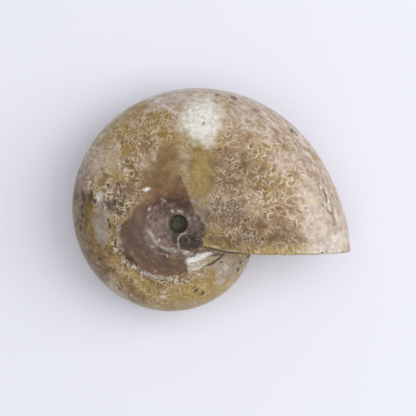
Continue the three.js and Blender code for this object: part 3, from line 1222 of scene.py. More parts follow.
    def build_squiggles(
        self, detail: float = 1.6, break_grain: float = 2.6, breaks: Pair = (-0.55, 0.5), fade: float = 0.2
    ) -> bpy.types.NodeTree:
        """Builds bundles of short squiggled strokes: nested level lines of noise, broken up.

        Args:
            detail: how many finer layers the noise has.
            break_grain: how much finer the noise is that breaks the strokes up.
            breaks: how that noise moves a stroke's edge, and where the edge starts.
            fade: how softly a stroke ends.

        Returns:
            The group, which gives the strokes.
        """
        inputs = {"Place": "Vector", "Grain": "Float", "Lines": "Float"}
        bench, taken, given = self.start("squiggles", inputs, ("Strokes",))
        hills = bench.cloud(taken["Place"], taken["Grain"], detail)
        level = bench.math("PINGPONG", bench.times(hills, taken["Lines"]), 0.5)
        broken = bench.cloud(taken["Place"], bench.times(taken["Grain"], break_grain))
        low = bench.ramp(broken, *breaks)
        bench.feed(given["Strokes"], bench.ease(level, low, bench.math("ADD", low, fade)))
        return bench.tree


@dataclass(frozen=True)
class Mineral:
    """How one zone of the stone looks.

    Attributes:
        zone: the zone.
        pale: its lighter colour.
        deep: its darker colour.
        fleck: the colour of the flecks in it.
        flecks: how much of it the flecks take, from 0 to 1.
        grain: how fine its clouding is.
        ragged: how far its edge is broken up.
        soft: how soft that edge is.
        strength: how far it hides what lies under it.
    """

    zone: Zone
    pale: Colour
    deep: Colour
    fleck: Colour
    flecks: float = 0.25
    grain: float = 0.7
    ragged: float = 1.2
    soft: float = 0.3
    strength: float = 0.9

    def mottle(self) -> Clouds:
        """The clouds of its darker colour."""
        return replace(MOTTLE, scale=MOTTLE.scale * self.grain)

    def fleck_clouds(self) -> Clouds:
        """The clouds of its flecks."""
        low = FLECKS.low - FLECK_SPREAD * self.flecks
        return replace(FLECKS, scale=FLECKS.scale * self.grain, low=low)


# The brown stains of the stone; its band along the left rim is also painted shade.
BROWN_STAIN_AND_LEFT_RIM_SHADE = Mineral(
    Zone.UMBER, srgb(124, 90, 54), srgb(88, 62, 36), srgb(158, 126, 90),
    soft=0.4, strength=0.85,
)
CLEAR_WINDOWS = Mineral(
    Zone.OLIVE, srgb(138, 111, 62), srgb(110, 84, 46), srgb(166, 142, 96),
    flecks=0.05, grain=0.32, ragged=1.8, soft=0.55, strength=0.88,
)
GOLDEN = Mineral(
    Zone.GOLD, srgb(180, 156, 84), srgb(149, 122, 55), srgb(198, 182, 130),
    ragged=1.7, soft=0.6, strength=0.82,
)
# The milky haze of the stone; its band along the venter's rim is also painted sheen.
MILKY_HAZE_AND_RIM_SHEEN = Mineral(
    Zone.HAZE, srgb(220, 206, 198), srgb(186, 167, 153), srgb(238, 230, 223),
    grain=0.5, ragged=2.0, soft=0.5, strength=0.7,
)
SMOOTH_BAND = Mineral(
    Zone.CREAM, srgb(170, 158, 148), srgb(142, 130, 119), srgb(192, 182, 172),
    grain=0.5, ragged=2.0, soft=0.6, strength=0.9,
)
CORE: tuple[Mineral, ...] = (
    Mineral(
        Zone.ROSE, srgb(132, 108, 97), srgb(78, 63, 57), srgb(206, 189, 177),
        flecks=0.42, grain=0.55, ragged=1.6, soft=0.4,
    ),
    Mineral(
        Zone.MAUVE, srgb(102, 77, 62), srgb(80, 59, 48), srgb(132, 106, 90),
        flecks=0.2, grain=0.4, ragged=1.2, soft=0.45, strength=0.94,
    ),
    Mineral(
        Zone.RUSSET, srgb(140, 106, 78), srgb(110, 80, 60), srgb(160, 126, 98),
        flecks=0.2, grain=0.5, ragged=1.4, soft=0.5, strength=0.8,
    ),
)
PALE_LEAVES = Mineral(
    Zone.BUFF, srgb(216, 197, 168), srgb(200, 178, 150), srgb(228, 214, 194),
    ragged=0.5, soft=0.3, strength=0.75,
)
FRILL = Mineral(
    Zone.FRILL, srgb(216, 202, 178), srgb(80, 60, 36), srgb(240, 236, 226),
    grain=0.9, ragged=1.6,
)
BLAZE = Mineral(
    Zone.CALCITE, srgb(241, 239, 233), srgb(216, 210, 192), srgb(250, 249, 246),
    grain=0.7, ragged=1.2, soft=0.5, strength=0.97,
)
DARK_SPOTS = Mineral(
    Zone.SLATE, srgb(86, 79, 70), srgb(48, 44, 38), srgb(120, 110, 98),
    flecks=0.2, grain=1.6, ragged=1.5, soft=0.5,
)


@dataclass(frozen=True)
class FlankFinish:
    """The polished flanks and venter: clouded calcite with leaf sutures and mineral zones.

    A stir is the scale of the noise that moves a pattern, and how far it moves it. A ramp is the
    slope and the start of a straight line. A shift moves a pattern to another part of its noise.
    A grain is the scale, the detail and at times the roughness of noise. An edge is where a mask
    starts, and where it is full.
    """

    golden: Colour = srgb(158, 130, 72)
    rosy: Colour = srgb(146, 113, 80)
    milky: Colour = srgb(182, 162, 130)
    brown: Colour = srgb(104, 76, 38)
    leaf_inside: Colour = srgb(124, 84, 38)
    leaf_outline: Colour = srgb(228, 212, 186)
    leaf_halo: Colour = srgb(196, 174, 146)
    thread: Colour = srgb(206, 190, 178)
    pit_rim: Colour = srgb(96, 92, 76)
    pit_floor: Colour = srgb(68, 64, 52)
    body_stir: Pair = (0.5, 1.6)
    rosy_clouds: Clouds = Clouds(0.16, 0.4, 0.6, 3.0)
    rosy_edge: Pair = (0.4, 1.0)
    milk_shift: Triple = (31.0, 7.0, 3.0)
    milk_clouds: Clouds = Clouds(0.26, 0.44, 0.66, 4.0, 0.6)
    brown_clouds: Clouds = Clouds(0.7, 0.48, 0.74, 5.0, 0.62)
    brown_strength: float = 0.45
    haze_and_sheen_over: float = 0.35
    stain_and_shade_over: float = 0.4
    window_ramp: Pair = (-0.85, 1.0)
    fade_clouds: Clouds = Clouds(0.4, 0.36, 0.6, 3.0)
    bright_clouds: Clouds = Clouds(1.1, 0.3, 0.62)
    leaf_line: float = 0.03
    leaf_count_ramp: Pair = (3.0, 6.0)
    ring_stir: Pair = (0.34, 0.8)
    ring_ramp: Pair = (0.6, 0.35)
    deep_stir: Pair = (0.3, 0.16)
    deep_shift: Triple = (0.37, 0.61, 0.0)
    deep_cells: float = 4.4
    deep_leaves: float = 6.0
    deep_ramp: Pair = (0.55, 0.3)
    halo_strength: float = 0.25
    inside_strength: float = 0.85
    shine_ramp: Pair = (0.5, 0.5)
    fan_stir: Pair = (0.5, 0.3)
    fan_spokes: float = 1.35
    fan_length: float = 1.1
    fan_layers: float = 40.0
    fan_lines: float = 5.4
    fan_edge: Pair = (0.2, 0.6)
    fan_ramp: Pair = (0.4, 0.5)
    fan_gaps: float = 0.5
    fan_glow_ramp: Pair = (0.5, 0.4)
    streak_stir: Pair = (0.3, 0.05)
    streak_stretch: Triple = (5.0, 22.0, 0.0)
    streak_lines: float = 5.0
    streak_clouds: Clouds = Clouds(0.35, 0.36, 0.6, 3.0)
    streak_ramp: Pair = (0.65, 0.35)
    streak_strength: float = 0.6
    thread_stir: Pair = (0.5, 0.16)
    thread_stretch: Triple = (2.2, 17.0, 0.0)
    thread_shade: Clouds = Clouds(1.0, 0.32, 0.68, 3.0, 0.6)
    thread_shade_ramp: Pair = (0.36, 0.82)
    thread_shift: Triple = (5.0, 3.0, 0.0)
    thread_clouds: Clouds = Clouds(1.6, 0.58, 0.72, 3.0, 0.6)
    thread_breaks: Clouds = Clouds(0.9, 0.45, 0.65)
    thread_strength: float = 0.6
    frill_gaps: float = 0.48
    frill_lobes: float = 0.6
    pit_edge: Pair = (0.3, 0.7)
    pit_clouds: Clouds = Clouds(1.4, 0.35, 0.65, 4.0)
    pit_bump: float = 6.0
    pit_bump_grain: Pair = (2.5, 4.0)
    crystal_grain: Triple = (2.6, 3.0, 0.7)
    crystal_ramp: Pair = (0.7, 0.66)
    roughness: float = 0.24
    rough_grain: Pair = (0.8, 3.0)
    rough_spread: float = 0.16
    rough_spots: float = 0.2
    rough_pit: float = 0.4
    specular: float = 0.3
    bump_height: float = 0.04
    bump_strength: float = 0.35

    def build(self, groups: NodeGroups) -> bpy.types.Material:
        """Builds the material, layer over layer.

        Args:
            groups: the shared effects.

        Returns:
            The material.
        """
        material = bpy.data.materials.new("polished_flank")
        material.use_nodes = True
        bench = Bench(material.node_tree)
        painter = FlankPainter(self, groups, bench, bench.millimetres(), self.golden)
        painter.body()
        painter.lay(BROWN_STAIN_AND_LEFT_RIM_SHADE)
        window = painter.lay(CLEAR_WINDOWS)
        painter.lay(GOLDEN)
        painter.lay(MILKY_HAZE_AND_RIM_SHEEN)
        lines, lobes, hollows = painter.sutures(window)
        # The haze laid again over the sutures at lower strength; along the venter's rim this is painted
        # sheen.
        painter.lay(replace(MILKY_HAZE_AND_RIM_SHEEN, strength=self.haze_and_sheen_over))
        # The brown laid again over the sutures at lower strength; along the left rim this is painted shade.
        painter.lay(replace(BROWN_STAIN_AND_LEFT_RIM_SHADE, strength=self.stain_and_shade_over))
        painter.lay(PALE_LEAVES)
        painter.streaks()
        painter.lay(SMOOTH_BAND)
        core = reduce(partial(bench.math, "MAXIMUM"), [painter.lay(mineral) for mineral in CORE])
        painter.growth_threads(core)
        painter.lay(BLAZE)
        spots = painter.lay(DARK_SPOTS)
        painter.frill(lobes, hollows)
        pit = painter.pit()
        painter.crystals()
        shader = material.node_tree.nodes["Principled BSDF"]
        bench.feed(shader.inputs["Base Color"], painter.colour)
        bench.feed(shader.inputs["Roughness"], painter.rough(spots, pit))
        bench.feed(shader.inputs["Specular IOR Level"], self.specular)
        bench.feed(shader.inputs["Normal"], painter.normal(lines, pit))
        return material


@dataclass
class FlankPainter:
    """Lays the colours of a flank finish over one another, in the nodes of its material.

    Attributes:
        finish: the finish.
        groups: the shared effects.
        bench: where the nodes go.
        place: the place on the stone.
        colour: the colour so far.
    """

    finish: FlankFinish
    groups: NodeGroups
    bench: Bench
    place: Socket
    colour: Feed

    def cover(self, share: Socket, colour: Feed) -> None:
        """Covers a share of what is there with a colour."""
        self.colour = self.bench.blend(share, self.colour, colour)

    def body(self) -> None:
        """Clouds the stone's own colour."""
        finish, bench = self.finish, self.bench
        stirred = bench.stirred(self.place, self.place, *finish.body_stir)
        leaves = bench.ease(bench.mark(Zone.LEAVES.value), *finish.rosy_edge)
        milk = bench.clouds(bench.vector("ADD", stirred, finish.milk_shift), finish.milk_clouds)
        fine = bench.clouds(stirred, finish.brown_clouds)
        self.cover(bench.times(bench.clouds(stirred, finish.rosy_clouds), leaves), finish.rosy)
        self.cover(milk, finish.milky)
        self.cover(bench.times(fine, finish.brown_strength), finish.brown)

    def mask(self, mineral: Mineral) -> Socket:
        """Finds where a mineral lies.

        Args:
            mineral: the mineral.

        Returns:
            Its mask.
        """
        feeds = {
            "Cover": self.bench.mark(mineral.zone.value),
            "Place": self.place,
            "Grain": mineral.grain,
            "Ragged": mineral.ragged,
            "Soft": mineral.soft,
        }
        return self.bench.group(self.groups.ragged_edge, feeds)["Mask"]

    def lay(self, mineral: Mineral) -> Socket:
        """Lays a mineral over what is there.

        Args:
            mineral: the mineral.

        Returns:
            Its mask.
        """
        bench = self.bench
        mask = self.mask(mineral)
        own = bench.blend(bench.clouds(self.place, mineral.mottle()), mineral.pale, mineral.deep)
        fleck = bench.times(bench.clouds(self.place, mineral.fleck_clouds()), FLECK_STRENGTH)
        own = bench.blend(fleck, own, mineral.fleck)
        self.cover(bench.times(mask, mineral.strength), own)
        return mask

    def sutures(self, window: Socket) -> tuple[Socket, Socket, Socket]:
        """Draws the leaf sutures: fine filled lobes, a deeper layer of rings and the large ones.

        Args:
            window: the mask of the clear windows, which hide most of the sutures.

        Returns:
            The masks of the lines, of the fine lobes and of the gaps between those.
        """
        finish, bench = self.finish, self.bench
        shown = bench.ramp(window, *finish.window_ramp)
        large = bench.times(bench.mark(Zone.LEAVES.value), shown)
        small = bench.times(bench.mark(Zone.SQUIGGLE.value), shown)
        fade = bench.clouds(self.place, finish.fade_clouds)
        turned = bench.math("SUBTRACT", 1.0, fade)
        bright = bench.clouds(self.place, finish.bright_clouds)
        lobes, hollows = self.fans()
        filled = bench.times(small, bench.ramp(turned, *finish.fan_ramp))
        lines = bench.times(lobes, filled, bench.ramp(bright, *finish.fan_glow_ramp))
        self.cover(bench.times(hollows, filled, finish.fan_gaps), finish.brown)
        self.cover(lines, finish.leaf_outline)
        layers = (
            (self.deep_rings(), bench.times(large, bench.ramp(turned, *finish.deep_ramp))),
            (self.rings(), bench.times(large, bench.ramp(fade, *finish.ring_ramp))),
        )
        for drawn, strength in layers:
            outline = bench.times(drawn["Outline"], strength)
            self.cover(bench.times(drawn["Halo"], strength, finish.halo_strength), finish.leaf_halo)
            self.cover(bench.times(drawn["Inside"], strength, finish.inside_strength), finish.leaf_inside)
            self.cover(bench.times(outline, bench.ramp(bright, *finish.shine_ramp)), finish.leaf_outline)
            lines = bench.math("MAXIMUM", lines, outline)
        return lines, lobes, hollows

    def rings(self) -> Sockets:
        """Draws the large leaf rings.

        Returns:
            The masks of their outline, inside and halo.
        """
        finish, bench = self.finish, self.bench
        seed = bench.mark("leaf_seed")
        feeds = {
            "Place": bench.stirred(bench.unrolled("leaf"), self.place, *finish.ring_stir),
            "Seed": seed,
            "Leaves": bench.math("FLOOR", bench.ramp(seed, *finish.leaf_count_ramp)),
            "Line": finish.leaf_line,
        }
        return bench.group(self.groups.leaf_ring, feeds)

    def deep_rings(self) -> Sockets:
        """Draws the leaf rings that lie deeper in the stone.

        Returns:
            The masks of their outline, inside and halo.
        """
        finish, bench = self.finish, self.bench
        coil = bench.stirred(bench.unrolled("coil"), self.place, *finish.deep_stir)
        feeds = {
            "Place": bench.vector("ADD", coil, finish.deep_shift),
            "Cells": finish.deep_cells,
            "Leaves": finish.deep_leaves,
            "Line": finish.leaf_line,
        }
        return bench.group(self.groups.leaf_field, feeds)

    def strokes(self, place: Socket, lines: float) -> tuple[Socket, Socket]:
        """Draws squiggled strokes.

        Args:
            place: where their noise is read.
            lines: how many nest in one another.

        Returns:
            The mask of the strokes, and that of the gaps between them.
        """
        feeds = {"Place": place, "Grain": 1.0, "Lines": lines}
        strokes = self.bench.group(self.groups.squiggles, feeds)["Strokes"]
        return strokes, self.bench.math("SUBTRACT", 1.0, strokes)

    def fans(self) -> tuple[Socket, ...]:
        """Draws the fine lobes that fan out round the middle of each leaf ring.

        Returns:
            The mask of the lobes, and that of the gaps between them.
        """
        finish, bench = self.finish, self.bench
        around = bench.stirred(bench.unrolled("leaf"), self.place, *finish.fan_stir)
        around = bench.vector("MULTIPLY", around, FLAT)
        reach = bench.length(around)
        spoke = bench.node("VectorMath", {0: around}, operation="NORMALIZE").outputs["Vector"]
        layer = bench.times(bench.mark("leaf_seed"), finish.fan_layers)
        lift = bench.node("CombineXYZ", {2: bench.ramp(reach, finish.fan_length, layer)}).outputs[0]
        place = bench.vector("ADD", bench.scaled(spoke, finish.fan_spokes), lift)
        outward = bench.ease(reach, *finish.fan_edge)
        return tuple(bench.times(mask, outward) for mask in self.strokes(place, finish.fan_lines))

    def streaks(self) -> None:
        """Draws the long streaks that run along the whorl near the venter."""
        finish, bench = self.finish, self.bench
        coil = bench.stirred(bench.unrolled("coil"), self.place, *finish.streak_stir)
        drawn_out = bench.vector("MULTIPLY", coil, finish.streak_stretch)
        strokes, gaps = self.strokes(drawn_out, finish.streak_lines)
        patchy = bench.ramp(bench.clouds(self.place, finish.streak_clouds), *finish.streak_ramp)
        share = bench.times(bench.mark(Zone.STREAK.value), patchy, finish.streak_strength)
        self.cover(bench.times(gaps, share), finish.brown)
        self.cover(bench.times(strokes, share), finish.leaf_outline)

    def growth_threads(self, core: Socket) -> None:
        """Draws the fine growth lines that ring the core.

        Args:
            core: the mask of the core.
        """
        finish, bench = self.finish, self.bench
        coil = bench.stirred(bench.unrolled("coil"), self.place, *finish.thread_stir)
        drawn_out = bench.vector("MULTIPLY", coil, finish.thread_stretch)
        shade = bench.ramp(bench.clouds(drawn_out, finish.thread_shade), *finish.thread_shade_ramp)
        threads = bench.clouds(bench.vector("ADD", drawn_out, finish.thread_shift), finish.thread_clouds)
        broken = bench.clouds(self.place, finish.thread_breaks)
        self.cover(core, bench.shaded(self.colour, shade))
        self.cover(bench.times(threads, broken, core, finish.thread_strength), finish.thread)

    def frill(self, lobes: Socket, hollows: Socket) -> None:
        """Draws the frill of white lobes and dark gaps, where the fine sutures stand out.

        Args:
            lobes: the mask of the fine lobes.
            hollows: the mask of the gaps between them.
        """
        mask = self.mask(FRILL)
        self.cover(self.bench.times(hollows, mask, self.finish.frill_gaps), FRILL.deep)
        self.cover(self.bench.times(lobes, mask, self.finish.frill_lobes), FRILL.pale)

    def pit(self) -> Socket:
        """Darkens the umbilical pit.

        Returns:
            The mask of the pit.
        """
        finish, bench = self.finish, self.bench
        mask = bench.ease(bench.mark("pit"), *finish.pit_edge)
        shade = bench.clouds(self.place, finish.pit_clouds)
        self.cover(mask, bench.blend(shade, finish.pit_rim, finish.pit_floor))
        return mask

    def crystals(self) -> None:
        """Breaks the colour up with fine crystal grain."""
        crystals = self.bench.cloud(self.place, *self.finish.crystal_grain)
        self.colour = self.bench.shaded(self.colour, self.bench.ramp(crystals, *self.finish.crystal_ramp))

    def rough(self, spots: Socket, pit: Socket) -> Socket:
        """Dulls the polish a little in clouds, and more on the dark spots and in the pit.

        Args:
            spots: the mask of the dark spots.
            pit: the mask of the pit.

        Returns:
            The roughness.
        """
        finish, bench = self.finish, self.bench
        clouded = bench.cloud(self.place, *finish.rough_grain)
        rough = bench.ramp(clouded, finish.rough_spread, finish.roughness)
        rough = bench.ramp(spots, finish.rough_spots, rough)
        return bench.ramp(pit, finish.rough_pit, rough)

    def normal(self, lines: Socket, pit: Socket) -> Socket:
        """Raises the suture lines by a trace, and makes the pit uneven.

        Args:
            lines: the mask of the suture lines.
            pit: the mask of the pit.

        Returns:
            The normal.
        """
        finish, bench = self.finish, self.bench
        uneven = bench.times(pit, bench.cloud(self.place, *finish.pit_bump_grain))
        feeds = {
            "Strength": finish.bump_strength,
            "Distance": finish.bump_height * MM,
            "Height": bench.ramp(uneven, finish.pit_bump, lines),
        }
        return bench.node("Bump", feeds).outputs["Normal"]


@dataclass(frozen=True)
class CutFinish:
    """The aperture's polished cut: a thin shell wall round banded honey calcite.

    Its grains and edges mean what they do in the flank's finish.
    """

    wall: Colour = srgb(214, 198, 172)
    wall_line: Colour = srgb(96, 74, 52)
    honey: Colour = srgb(166, 136, 88)
    deep_honey: Colour = srgb(134, 103, 66)
    crystal: Colour = srgb(214, 206, 190)
    wall_width: float = 0.55
    wall_full: float = 0.7
    line_edge: Pair = (0.28, 0.08)
    line_strength: float = 0.8
    swing: float = 2.4
    swing_grain: Pair = (0.7, 4.0)
    wall_swing: float = 0.25
    bands: float = 0.8
    band_edge: Pair = (-0.9, 0.9)
    crystal_clouds: Clouds = Clouds(0.28, 0.48, 0.66, 5.0, 0.65)
    crystal_strength: float = 0.85
    roughness: float = 0.3
    rough_grain: Pair = (1.2, 3.0)
    rough_spread: float = 0.2

    def build(self) -> bpy.types.Material:
        """Builds the material.

        Returns:
            The material.
        """
        material = bpy.data.materials.new("aperture_cut")
        material.use_nodes = True
        bench = Bench(material.node_tree)
        place = bench.millimetres()
        swing = bench.times(bench.math("SUBTRACT", bench.cloud(place, *self.swing_grain), 0.5), self.swing)
        inside = bench.ramp(swing, self.wall_swing, bench.mark("inside"))
        banded = bench.math("SINE", bench.times(bench.math("ADD", inside, swing), self.bands))
        colour = bench.blend(bench.ease(banded, *self.band_edge), self.honey, self.deep_honey)
        crystals = bench.times(bench.clouds(place, self.crystal_clouds), self.crystal_strength)
        colour = bench.blend(crystals, colour, self.crystal)
        wall = bench.ease(inside, self.wall_width, self.wall_full * self.wall_width)
        colour = bench.blend(wall, colour, self.wall)
        from_line = bench.math("ABSOLUTE", bench.math("SUBTRACT", inside, self.wall_width))
        line = bench.times(bench.ease(from_line, *self.line_edge), self.line_strength)
        rough = bench.ramp(bench.cloud(place, *self.rough_grain), self.rough_spread, self.roughness)
        shader = material.node_tree.nodes["Principled BSDF"]
        bench.feed(shader.inputs["Base Color"], bench.blend(line, colour, self.wall_line))
        bench.feed(shader.inputs["Roughness"], rough)
        return material


@dataclass
class Ammonite:
    """The whole stone: its coil, the map of its minerals, its leaf sutures and its two finishes.

    The pitch, reach, spread and clear of the rings are radians, on the unrolled coil.

    Attributes:
        coil: the form of the shell.
        ring_pitch: from leaf ring to leaf ring.
        ring_packing: from row to row of rings, in pitches.
        ring_reach: a ring's usual reach.
        ring_sizes: the smallest and largest ring, as shares of that.
        ring_spread: how far a ring strays from its place.
        ring_clear: how near to a listed ring no other one stands.
        ring_rows: the rows on each flank.
        pit_middles: the middle of the pit on the map, on the lower and on the upper flank.
        pit_reach: how far the pit's stain reaches.
        pit_soft: the share of that reach over which it fades.
        venter_blend: how far from the venter's middle each flank's own minerals are full.
    """

    coil: Coil = field(default_factory=Coil)
    ring_pitch: float = 0.26
    ring_packing: float = 0.87
    ring_reach: float = 0.15
    ring_sizes: Pair = (0.8, 1.15)
    ring_spread: float = 0.05
    ring_clear: float = 0.17
    ring_rows: int = 11
    pit_middles: tuple[Point, Point] = ((-5.8, -4.3), (-6.8, -5.2))
    pit_reach: float = 2.05
    pit_soft: float = 0.2
    venter_blend: float = 1.0

    def build(self, low: Vector, high: Vector) -> bpy.types.Object:
        """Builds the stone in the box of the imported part.

        Args:
            low: the box's lowest corner, in metres.
            high: the box's highest corner, in metres.

        Returns:
            The finished piece.
        """
        mesh = self.model(low, high)
        mesh.materials.append(FlankFinish().build(NodeGroups()))
        mesh.materials.append(CutFinish().build())
        self.mark_minerals(mesh)
        self.place_rings(mesh)
        piece = bpy.data.objects.new(PIECE, mesh)
        bpy.context.scene.collection.objects.link(piece)
        return piece

    def model(self, low: Vector, high: Vector) -> bpy.types.Mesh:
        """Models the coil from a plain grid, wound up and closed along its seams.

        Args:
            low: the box's lowest corner, in metres.
            high: the box's highest corner, in metres.

        Returns:
            The mesh, with its unrolled map and the marks of height and cut face.
        """
        points, unrolled, inside = (values.swapaxes(0, 1) for values in self.coil.wind())
        rows, columns = points.shape[:2]
        heights = points[:, :, 2].ravel()
        depths = inside.ravel()
        maps = unrolled.reshape(-1, 2)
        placed = self.coil.laid_down(points.reshape(-1, 3), low, high)
        shell = bmesh.new()
        bmesh.ops.create_grid(shell, x_segments=columns - 1, y_segments=rows - 1, size=0.5)
        height_mark = shell.verts.layers.float.new("height")
        inside_mark = shell.verts.layers.float.new("inside")
        coil_map = shell.loops.layers.uv.new("coil")
        shell.verts.ensure_lookup_table()
        for index, vert in enumerate(shell.verts):
            vert.index = index
            vert.co = placed[index]
            vert[height_mark] = heights[index]
            vert[inside_mark] = depths[index]
        for face in shell.faces:
            face.smooth = True
            first_column = min(loop.vert.index % columns for loop in face.loops)
            face.material_index = int(first_column >= self.coil.columns)
            for loop in face.loops:
                loop[coil_map].uv = maps[loop.vert.index]
        bmesh.ops.remove_doubles(shell, verts=shell.verts, dist=SAME_POINT)
        bmesh.ops.recalc_face_normals(shell, faces=shell.faces)
        mesh = bpy.data.meshes.new(PIECE)
        shell.to_mesh(mesh)
        shell.free()
        return mesh

    def on_map(self, mesh: bpy.types.Mesh) -> tuple[np.ndarray, np.ndarray]:
        """Finds where each vertex of the stone shows on the map.

        Args:
            mesh: the stone's mesh.

        Returns:
            The vertices' places on the map and their heights over the coil's middle plane.
        """
        flat = np.empty(3 * len(mesh.vertices))
        mesh.vertices.foreach_get("co", flat)
        points = flat.reshape(-1, 3) / MM
        nearer = (EYE.z - MAP_HEIGHT) / (EYE.z - points[:, 2])
        eye = np.array((EYE.x, EYE.y))
        heights = np.empty(len(mesh.vertices))
        mesh.attributes["height"].data.foreach_get("value", heights)
        return eye + (points[:, :2] - eye) * nearer[:, None], heights

    def mark_minerals(self, mesh: bpy.types.Mesh) -> None:
        """Writes the cover of every zone, and of the pit's stain, onto the mesh.

        Args:
            mesh: the stone's mesh.
        """
        places, heights = self.on_map(mesh)
        drift = self.drift(mesh)
        upper = smooth(heights, -self.venter_blend, self.venter_blend)
        for zone in Zone:
            cover = np.full(len(places), PLAIN_COVER.get(zone, 0.0))
            wandered = places + drift * WANDER[zone]
            for zones, share in ((UPPER_ZONES, upper), (LOWER_ZONES, 1.0 - upper)):
                for shape in zones[zone]:
                    cover = np.maximum(cover, shape.cover(wandered) * share)
            self.write(mesh, zone.value, "POINT", cover)
        below, above = self.pit_middles
        reach = np.linalg.norm(places - np.where(heights[:, None] > 0.0, above, below), axis=1)
        stain = 1.0 - smooth(reach / self.pit_reach, 1.0 - self.pit_soft, 1.0 + self.pit_soft)
        self.write(mesh, "pit", "POINT", stain)

    def drift(self, mesh: bpy.types.Mesh) -> np.ndarray:
        """Works out the noise that zone outlines wander by.

        Args:
            mesh: the stone's mesh.

        Returns:
            A step on the map for each vertex, which each zone multiplies by its own wander.
        """
        noise.seed_set(WANDER_SEED)
        steps = np.zeros((len(mesh.vertices), 2))
        for scale, amount in WANDER_OCTAVES:
            for index, vertex in enumerate(mesh.vertices):
                steps[index] += amount * np.array(noise.noise_vector(vertex.co * (scale / MM))[:2])
        return steps

    def write(self, mesh: bpy.types.Mesh, name: str, domain: str, values: np.ndarray) -> None:
        """Writes a mark onto the mesh."""
        mark = mesh.attributes.new(name, "FLOAT", domain)
        mark.data.foreach_set("value", values.astype(np.float32))

    def unrolled(self, mesh: bpy.types.Mesh) -> np.ndarray:
        """Reads the unrolled map.

        Args:
            mesh: the stone's mesh.

        Returns:
            The place of each face corner along and across the whorl.
        """
        flat = np.empty(2 * len(mesh.loops))
        mesh.uv_layers["coil"].data.foreach_get("uv", flat)
        return flat.reshape(-1, 2)

    def drawn_rings(self, mesh: bpy.types.Mesh) -> list[Triple]:
        """Finds the listed leaf rings on the unrolled coil.

        Args:
            mesh: the stone's mesh.

        Returns:
            Each ring's middle along and across the whorl, and its reach there.
        """
        places, heights = self.on_map(mesh)
        corners = np.empty(len(mesh.loops), dtype=np.int32)
        mesh.loops.foreach_get("vertex_index", corners)
        maps = np.empty((len(mesh.vertices), 2))
        maps[corners] = self.unrolled(mesh)
        axis = np.array(self.pit_middles[Side.UPPER.value])
        hidden = np.where(heights > 0.0, 0.0, FAR)
        rings = []
        for ring in UPPER_RINGS:
            at = np.array(ring.at)
            nearest = int(np.argmin(np.linalg.norm(places - at, axis=1) + hidden))
            rings.append((*maps[nearest], ring.reach / float(np.linalg.norm(at - axis))))
        return rings

    def septa_rings(self, drawn: list[Triple]) -> list[Triple]:
        """Fills the rest of the unrolled coil with rows of leaf rings along its septa.

        Args:
            drawn: the listed rings, which the others keep clear of.

        Returns:
            Each ring's middle along and across the whorl, and its reach there.
        """
        dice = random.Random(SEED)
        rings = []
        for septum in range(int(TURN / self.ring_pitch) + 2):
            for row in range(-self.ring_rows, self.ring_rows + 1):
                along = self.ring_pitch * (septum + 0.5 * (row % 2) - 1.0)
                along += dice.uniform(-1, 1) * self.ring_spread
                across = self.ring_packing * self.ring_pitch * row + dice.uniform(-1, 1) * self.ring_spread
                reach = self.ring_reach * dice.uniform(*self.ring_sizes)
                if all(math.hypot(along - a, across - b) >= self.ring_clear for a, b, _ in drawn):
                    rings.append((along, across, reach))
        return rings

    def place_rings(self, mesh: bpy.types.Mesh) -> None:
        """Gives each face the leaf ring nearest to it, as a map round the ring's middle.

        Args:
            mesh: the stone's mesh.
        """
        drawn = self.drawn_rings(mesh)
        rings = np.array(drawn + self.septa_rings(drawn))
        corners = self.unrolled(mesh)
        sides = np.empty(len(mesh.polygons), dtype=np.int32)
        mesh.polygons.foreach_get("loop_total", sides)
        owner = np.repeat(np.arange(len(sides)), sides)
        middles = [np.bincount(owner, weights=corners[:, axis]) / sides for axis in (0, 1)]
        nearest = np.zeros(len(sides), dtype=np.int32)
        closest = np.full(len(sides), np.inf)
        for number, (along, across, reach) in enumerate(rings):
            gap = np.hypot(middles[0] - along, middles[1] - across) / reach
            closer = gap < closest
            nearest[closer] = number
            closest[closer] = gap[closer]
        own = rings[nearest[owner]]
        leaf_map = mesh.uv_layers.new(name="leaf")
        leaf_map.data.foreach_set("uv", ((corners - own[:, :2]) / own[:, 2:]).ravel().astype(np.float32))
        dice = random.Random(SEED + 1)
        seeds = np.array([dice.random() for _ in rings])
        self.write(mesh, "leaf_seed", "FACE", seeds[nearest])


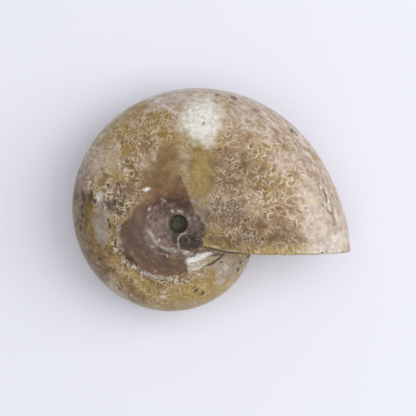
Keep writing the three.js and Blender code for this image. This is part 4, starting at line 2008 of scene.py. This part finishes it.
@dataclass
class Studio:
    """The pale table, the soft light from above and from the right, and the camera straight above.

    Sizes and places are metres, powers are watts, and the camera's frame and sensor are millimetres.
    """

    table_half: float = 1.5
    table_colour: Colour = srgb(240, 241, 250)
    table_roughness: float = 0.8
    sky_colour: Colour = (0.92, 0.93, 1.0, 1.0)
    sky_strength: float = 0.45
    ceiling_size: float = 1.0
    ceiling_place: Triple = (0.0, 0.0, 0.9)
    ceiling_power: float = 2.7
    window_size: float = 0.6
    window_place: Triple = (0.52, 0.06, 0.5)
    window_power: float = 2.87
    frame_width: float = 89.8
    sensor: float = 36.0
    nearest_seen: float = 0.01

    def build(self) -> bpy.types.Object:
        """Sets the stage.

        Returns:
            The table.
        """
        self.fill_room()
        self.hang_panel("window", self.window_size, self.window_power, Vector(self.window_place))
        self.hang_panel("ceiling", self.ceiling_size, self.ceiling_power, Vector(self.ceiling_place))
        self.mount_camera()
        return self.lay_table()

    def lay_table(self) -> bpy.types.Object:
        """Lays the table under the stone.

        Returns:
            The table.
        """
        top = bmesh.new()
        bmesh.ops.create_grid(top, x_segments=1, y_segments=1, size=self.table_half)
        mesh = bpy.data.meshes.new("table")
        top.to_mesh(mesh)
        top.free()
        material = bpy.data.materials.new("table_paper")
        material.use_nodes = True
        shader = material.node_tree.nodes["Principled BSDF"]
        shader.inputs["Base Color"].default_value = self.table_colour
        shader.inputs["Roughness"].default_value = self.table_roughness
        mesh.materials.append(material)
        table = bpy.data.objects.new("table", mesh)
        bpy.context.scene.collection.objects.link(table)
        return table

    def fill_room(self) -> None:
        """Fills the room with pale light, and shows colours as they are."""
        room = bpy.data.worlds.new("room")
        room.use_nodes = True
        background = room.node_tree.nodes["Background"].inputs
        background["Color"].default_value = self.sky_colour
        background["Strength"].default_value = self.sky_strength
        bpy.context.scene.world = room
        bpy.context.scene.view_settings.view_transform = "Standard"

    def hang_panel(self, name: str, size: float, power: float, place: Vector) -> None:
        """Hangs a square panel of light that faces the stone.

        Args:
            name: the panel's name.
            size: the length of its sides.
            power: its power.
            place: where its middle hangs.
        """
        panel = bpy.data.lights.new(name, "AREA")
        panel.shape = "SQUARE"
        panel.size = size
        panel.energy = power
        holder = bpy.data.objects.new(name, panel)
        holder.location = place
        holder.rotation_euler = place.to_track_quat("Z", "Y").to_euler()
        bpy.context.scene.collection.objects.link(holder)

    def mount_camera(self) -> None:
        """Mounts the camera straight above the stone, with +Y up in the picture."""
        lens = bpy.data.cameras.new("overhead")
        lens.sensor_width = self.sensor
        lens.lens = self.sensor * (EYE.z - MAP_HEIGHT) / self.frame_width
        lens.clip_start = self.nearest_seen
        camera = bpy.data.objects.new("overhead", lens)
        camera.location = EYE * MM
        bpy.context.scene.collection.objects.link(camera)
        bpy.context.scene.camera = camera


def main() -> None:
    """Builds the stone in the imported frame, dresses it and sets the stage."""
    logging.basicConfig(level=logging.INFO, format="%(message)s")
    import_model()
    low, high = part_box(NODE)
    Studio().build()
    stone = Ammonite().build(low, high)
    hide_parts(NODE)
    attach(stone, BODY)
    log.info("%s: %d faces", stone.name, len(stone.data.polygons))


if __name__ == "__main__":
    main()
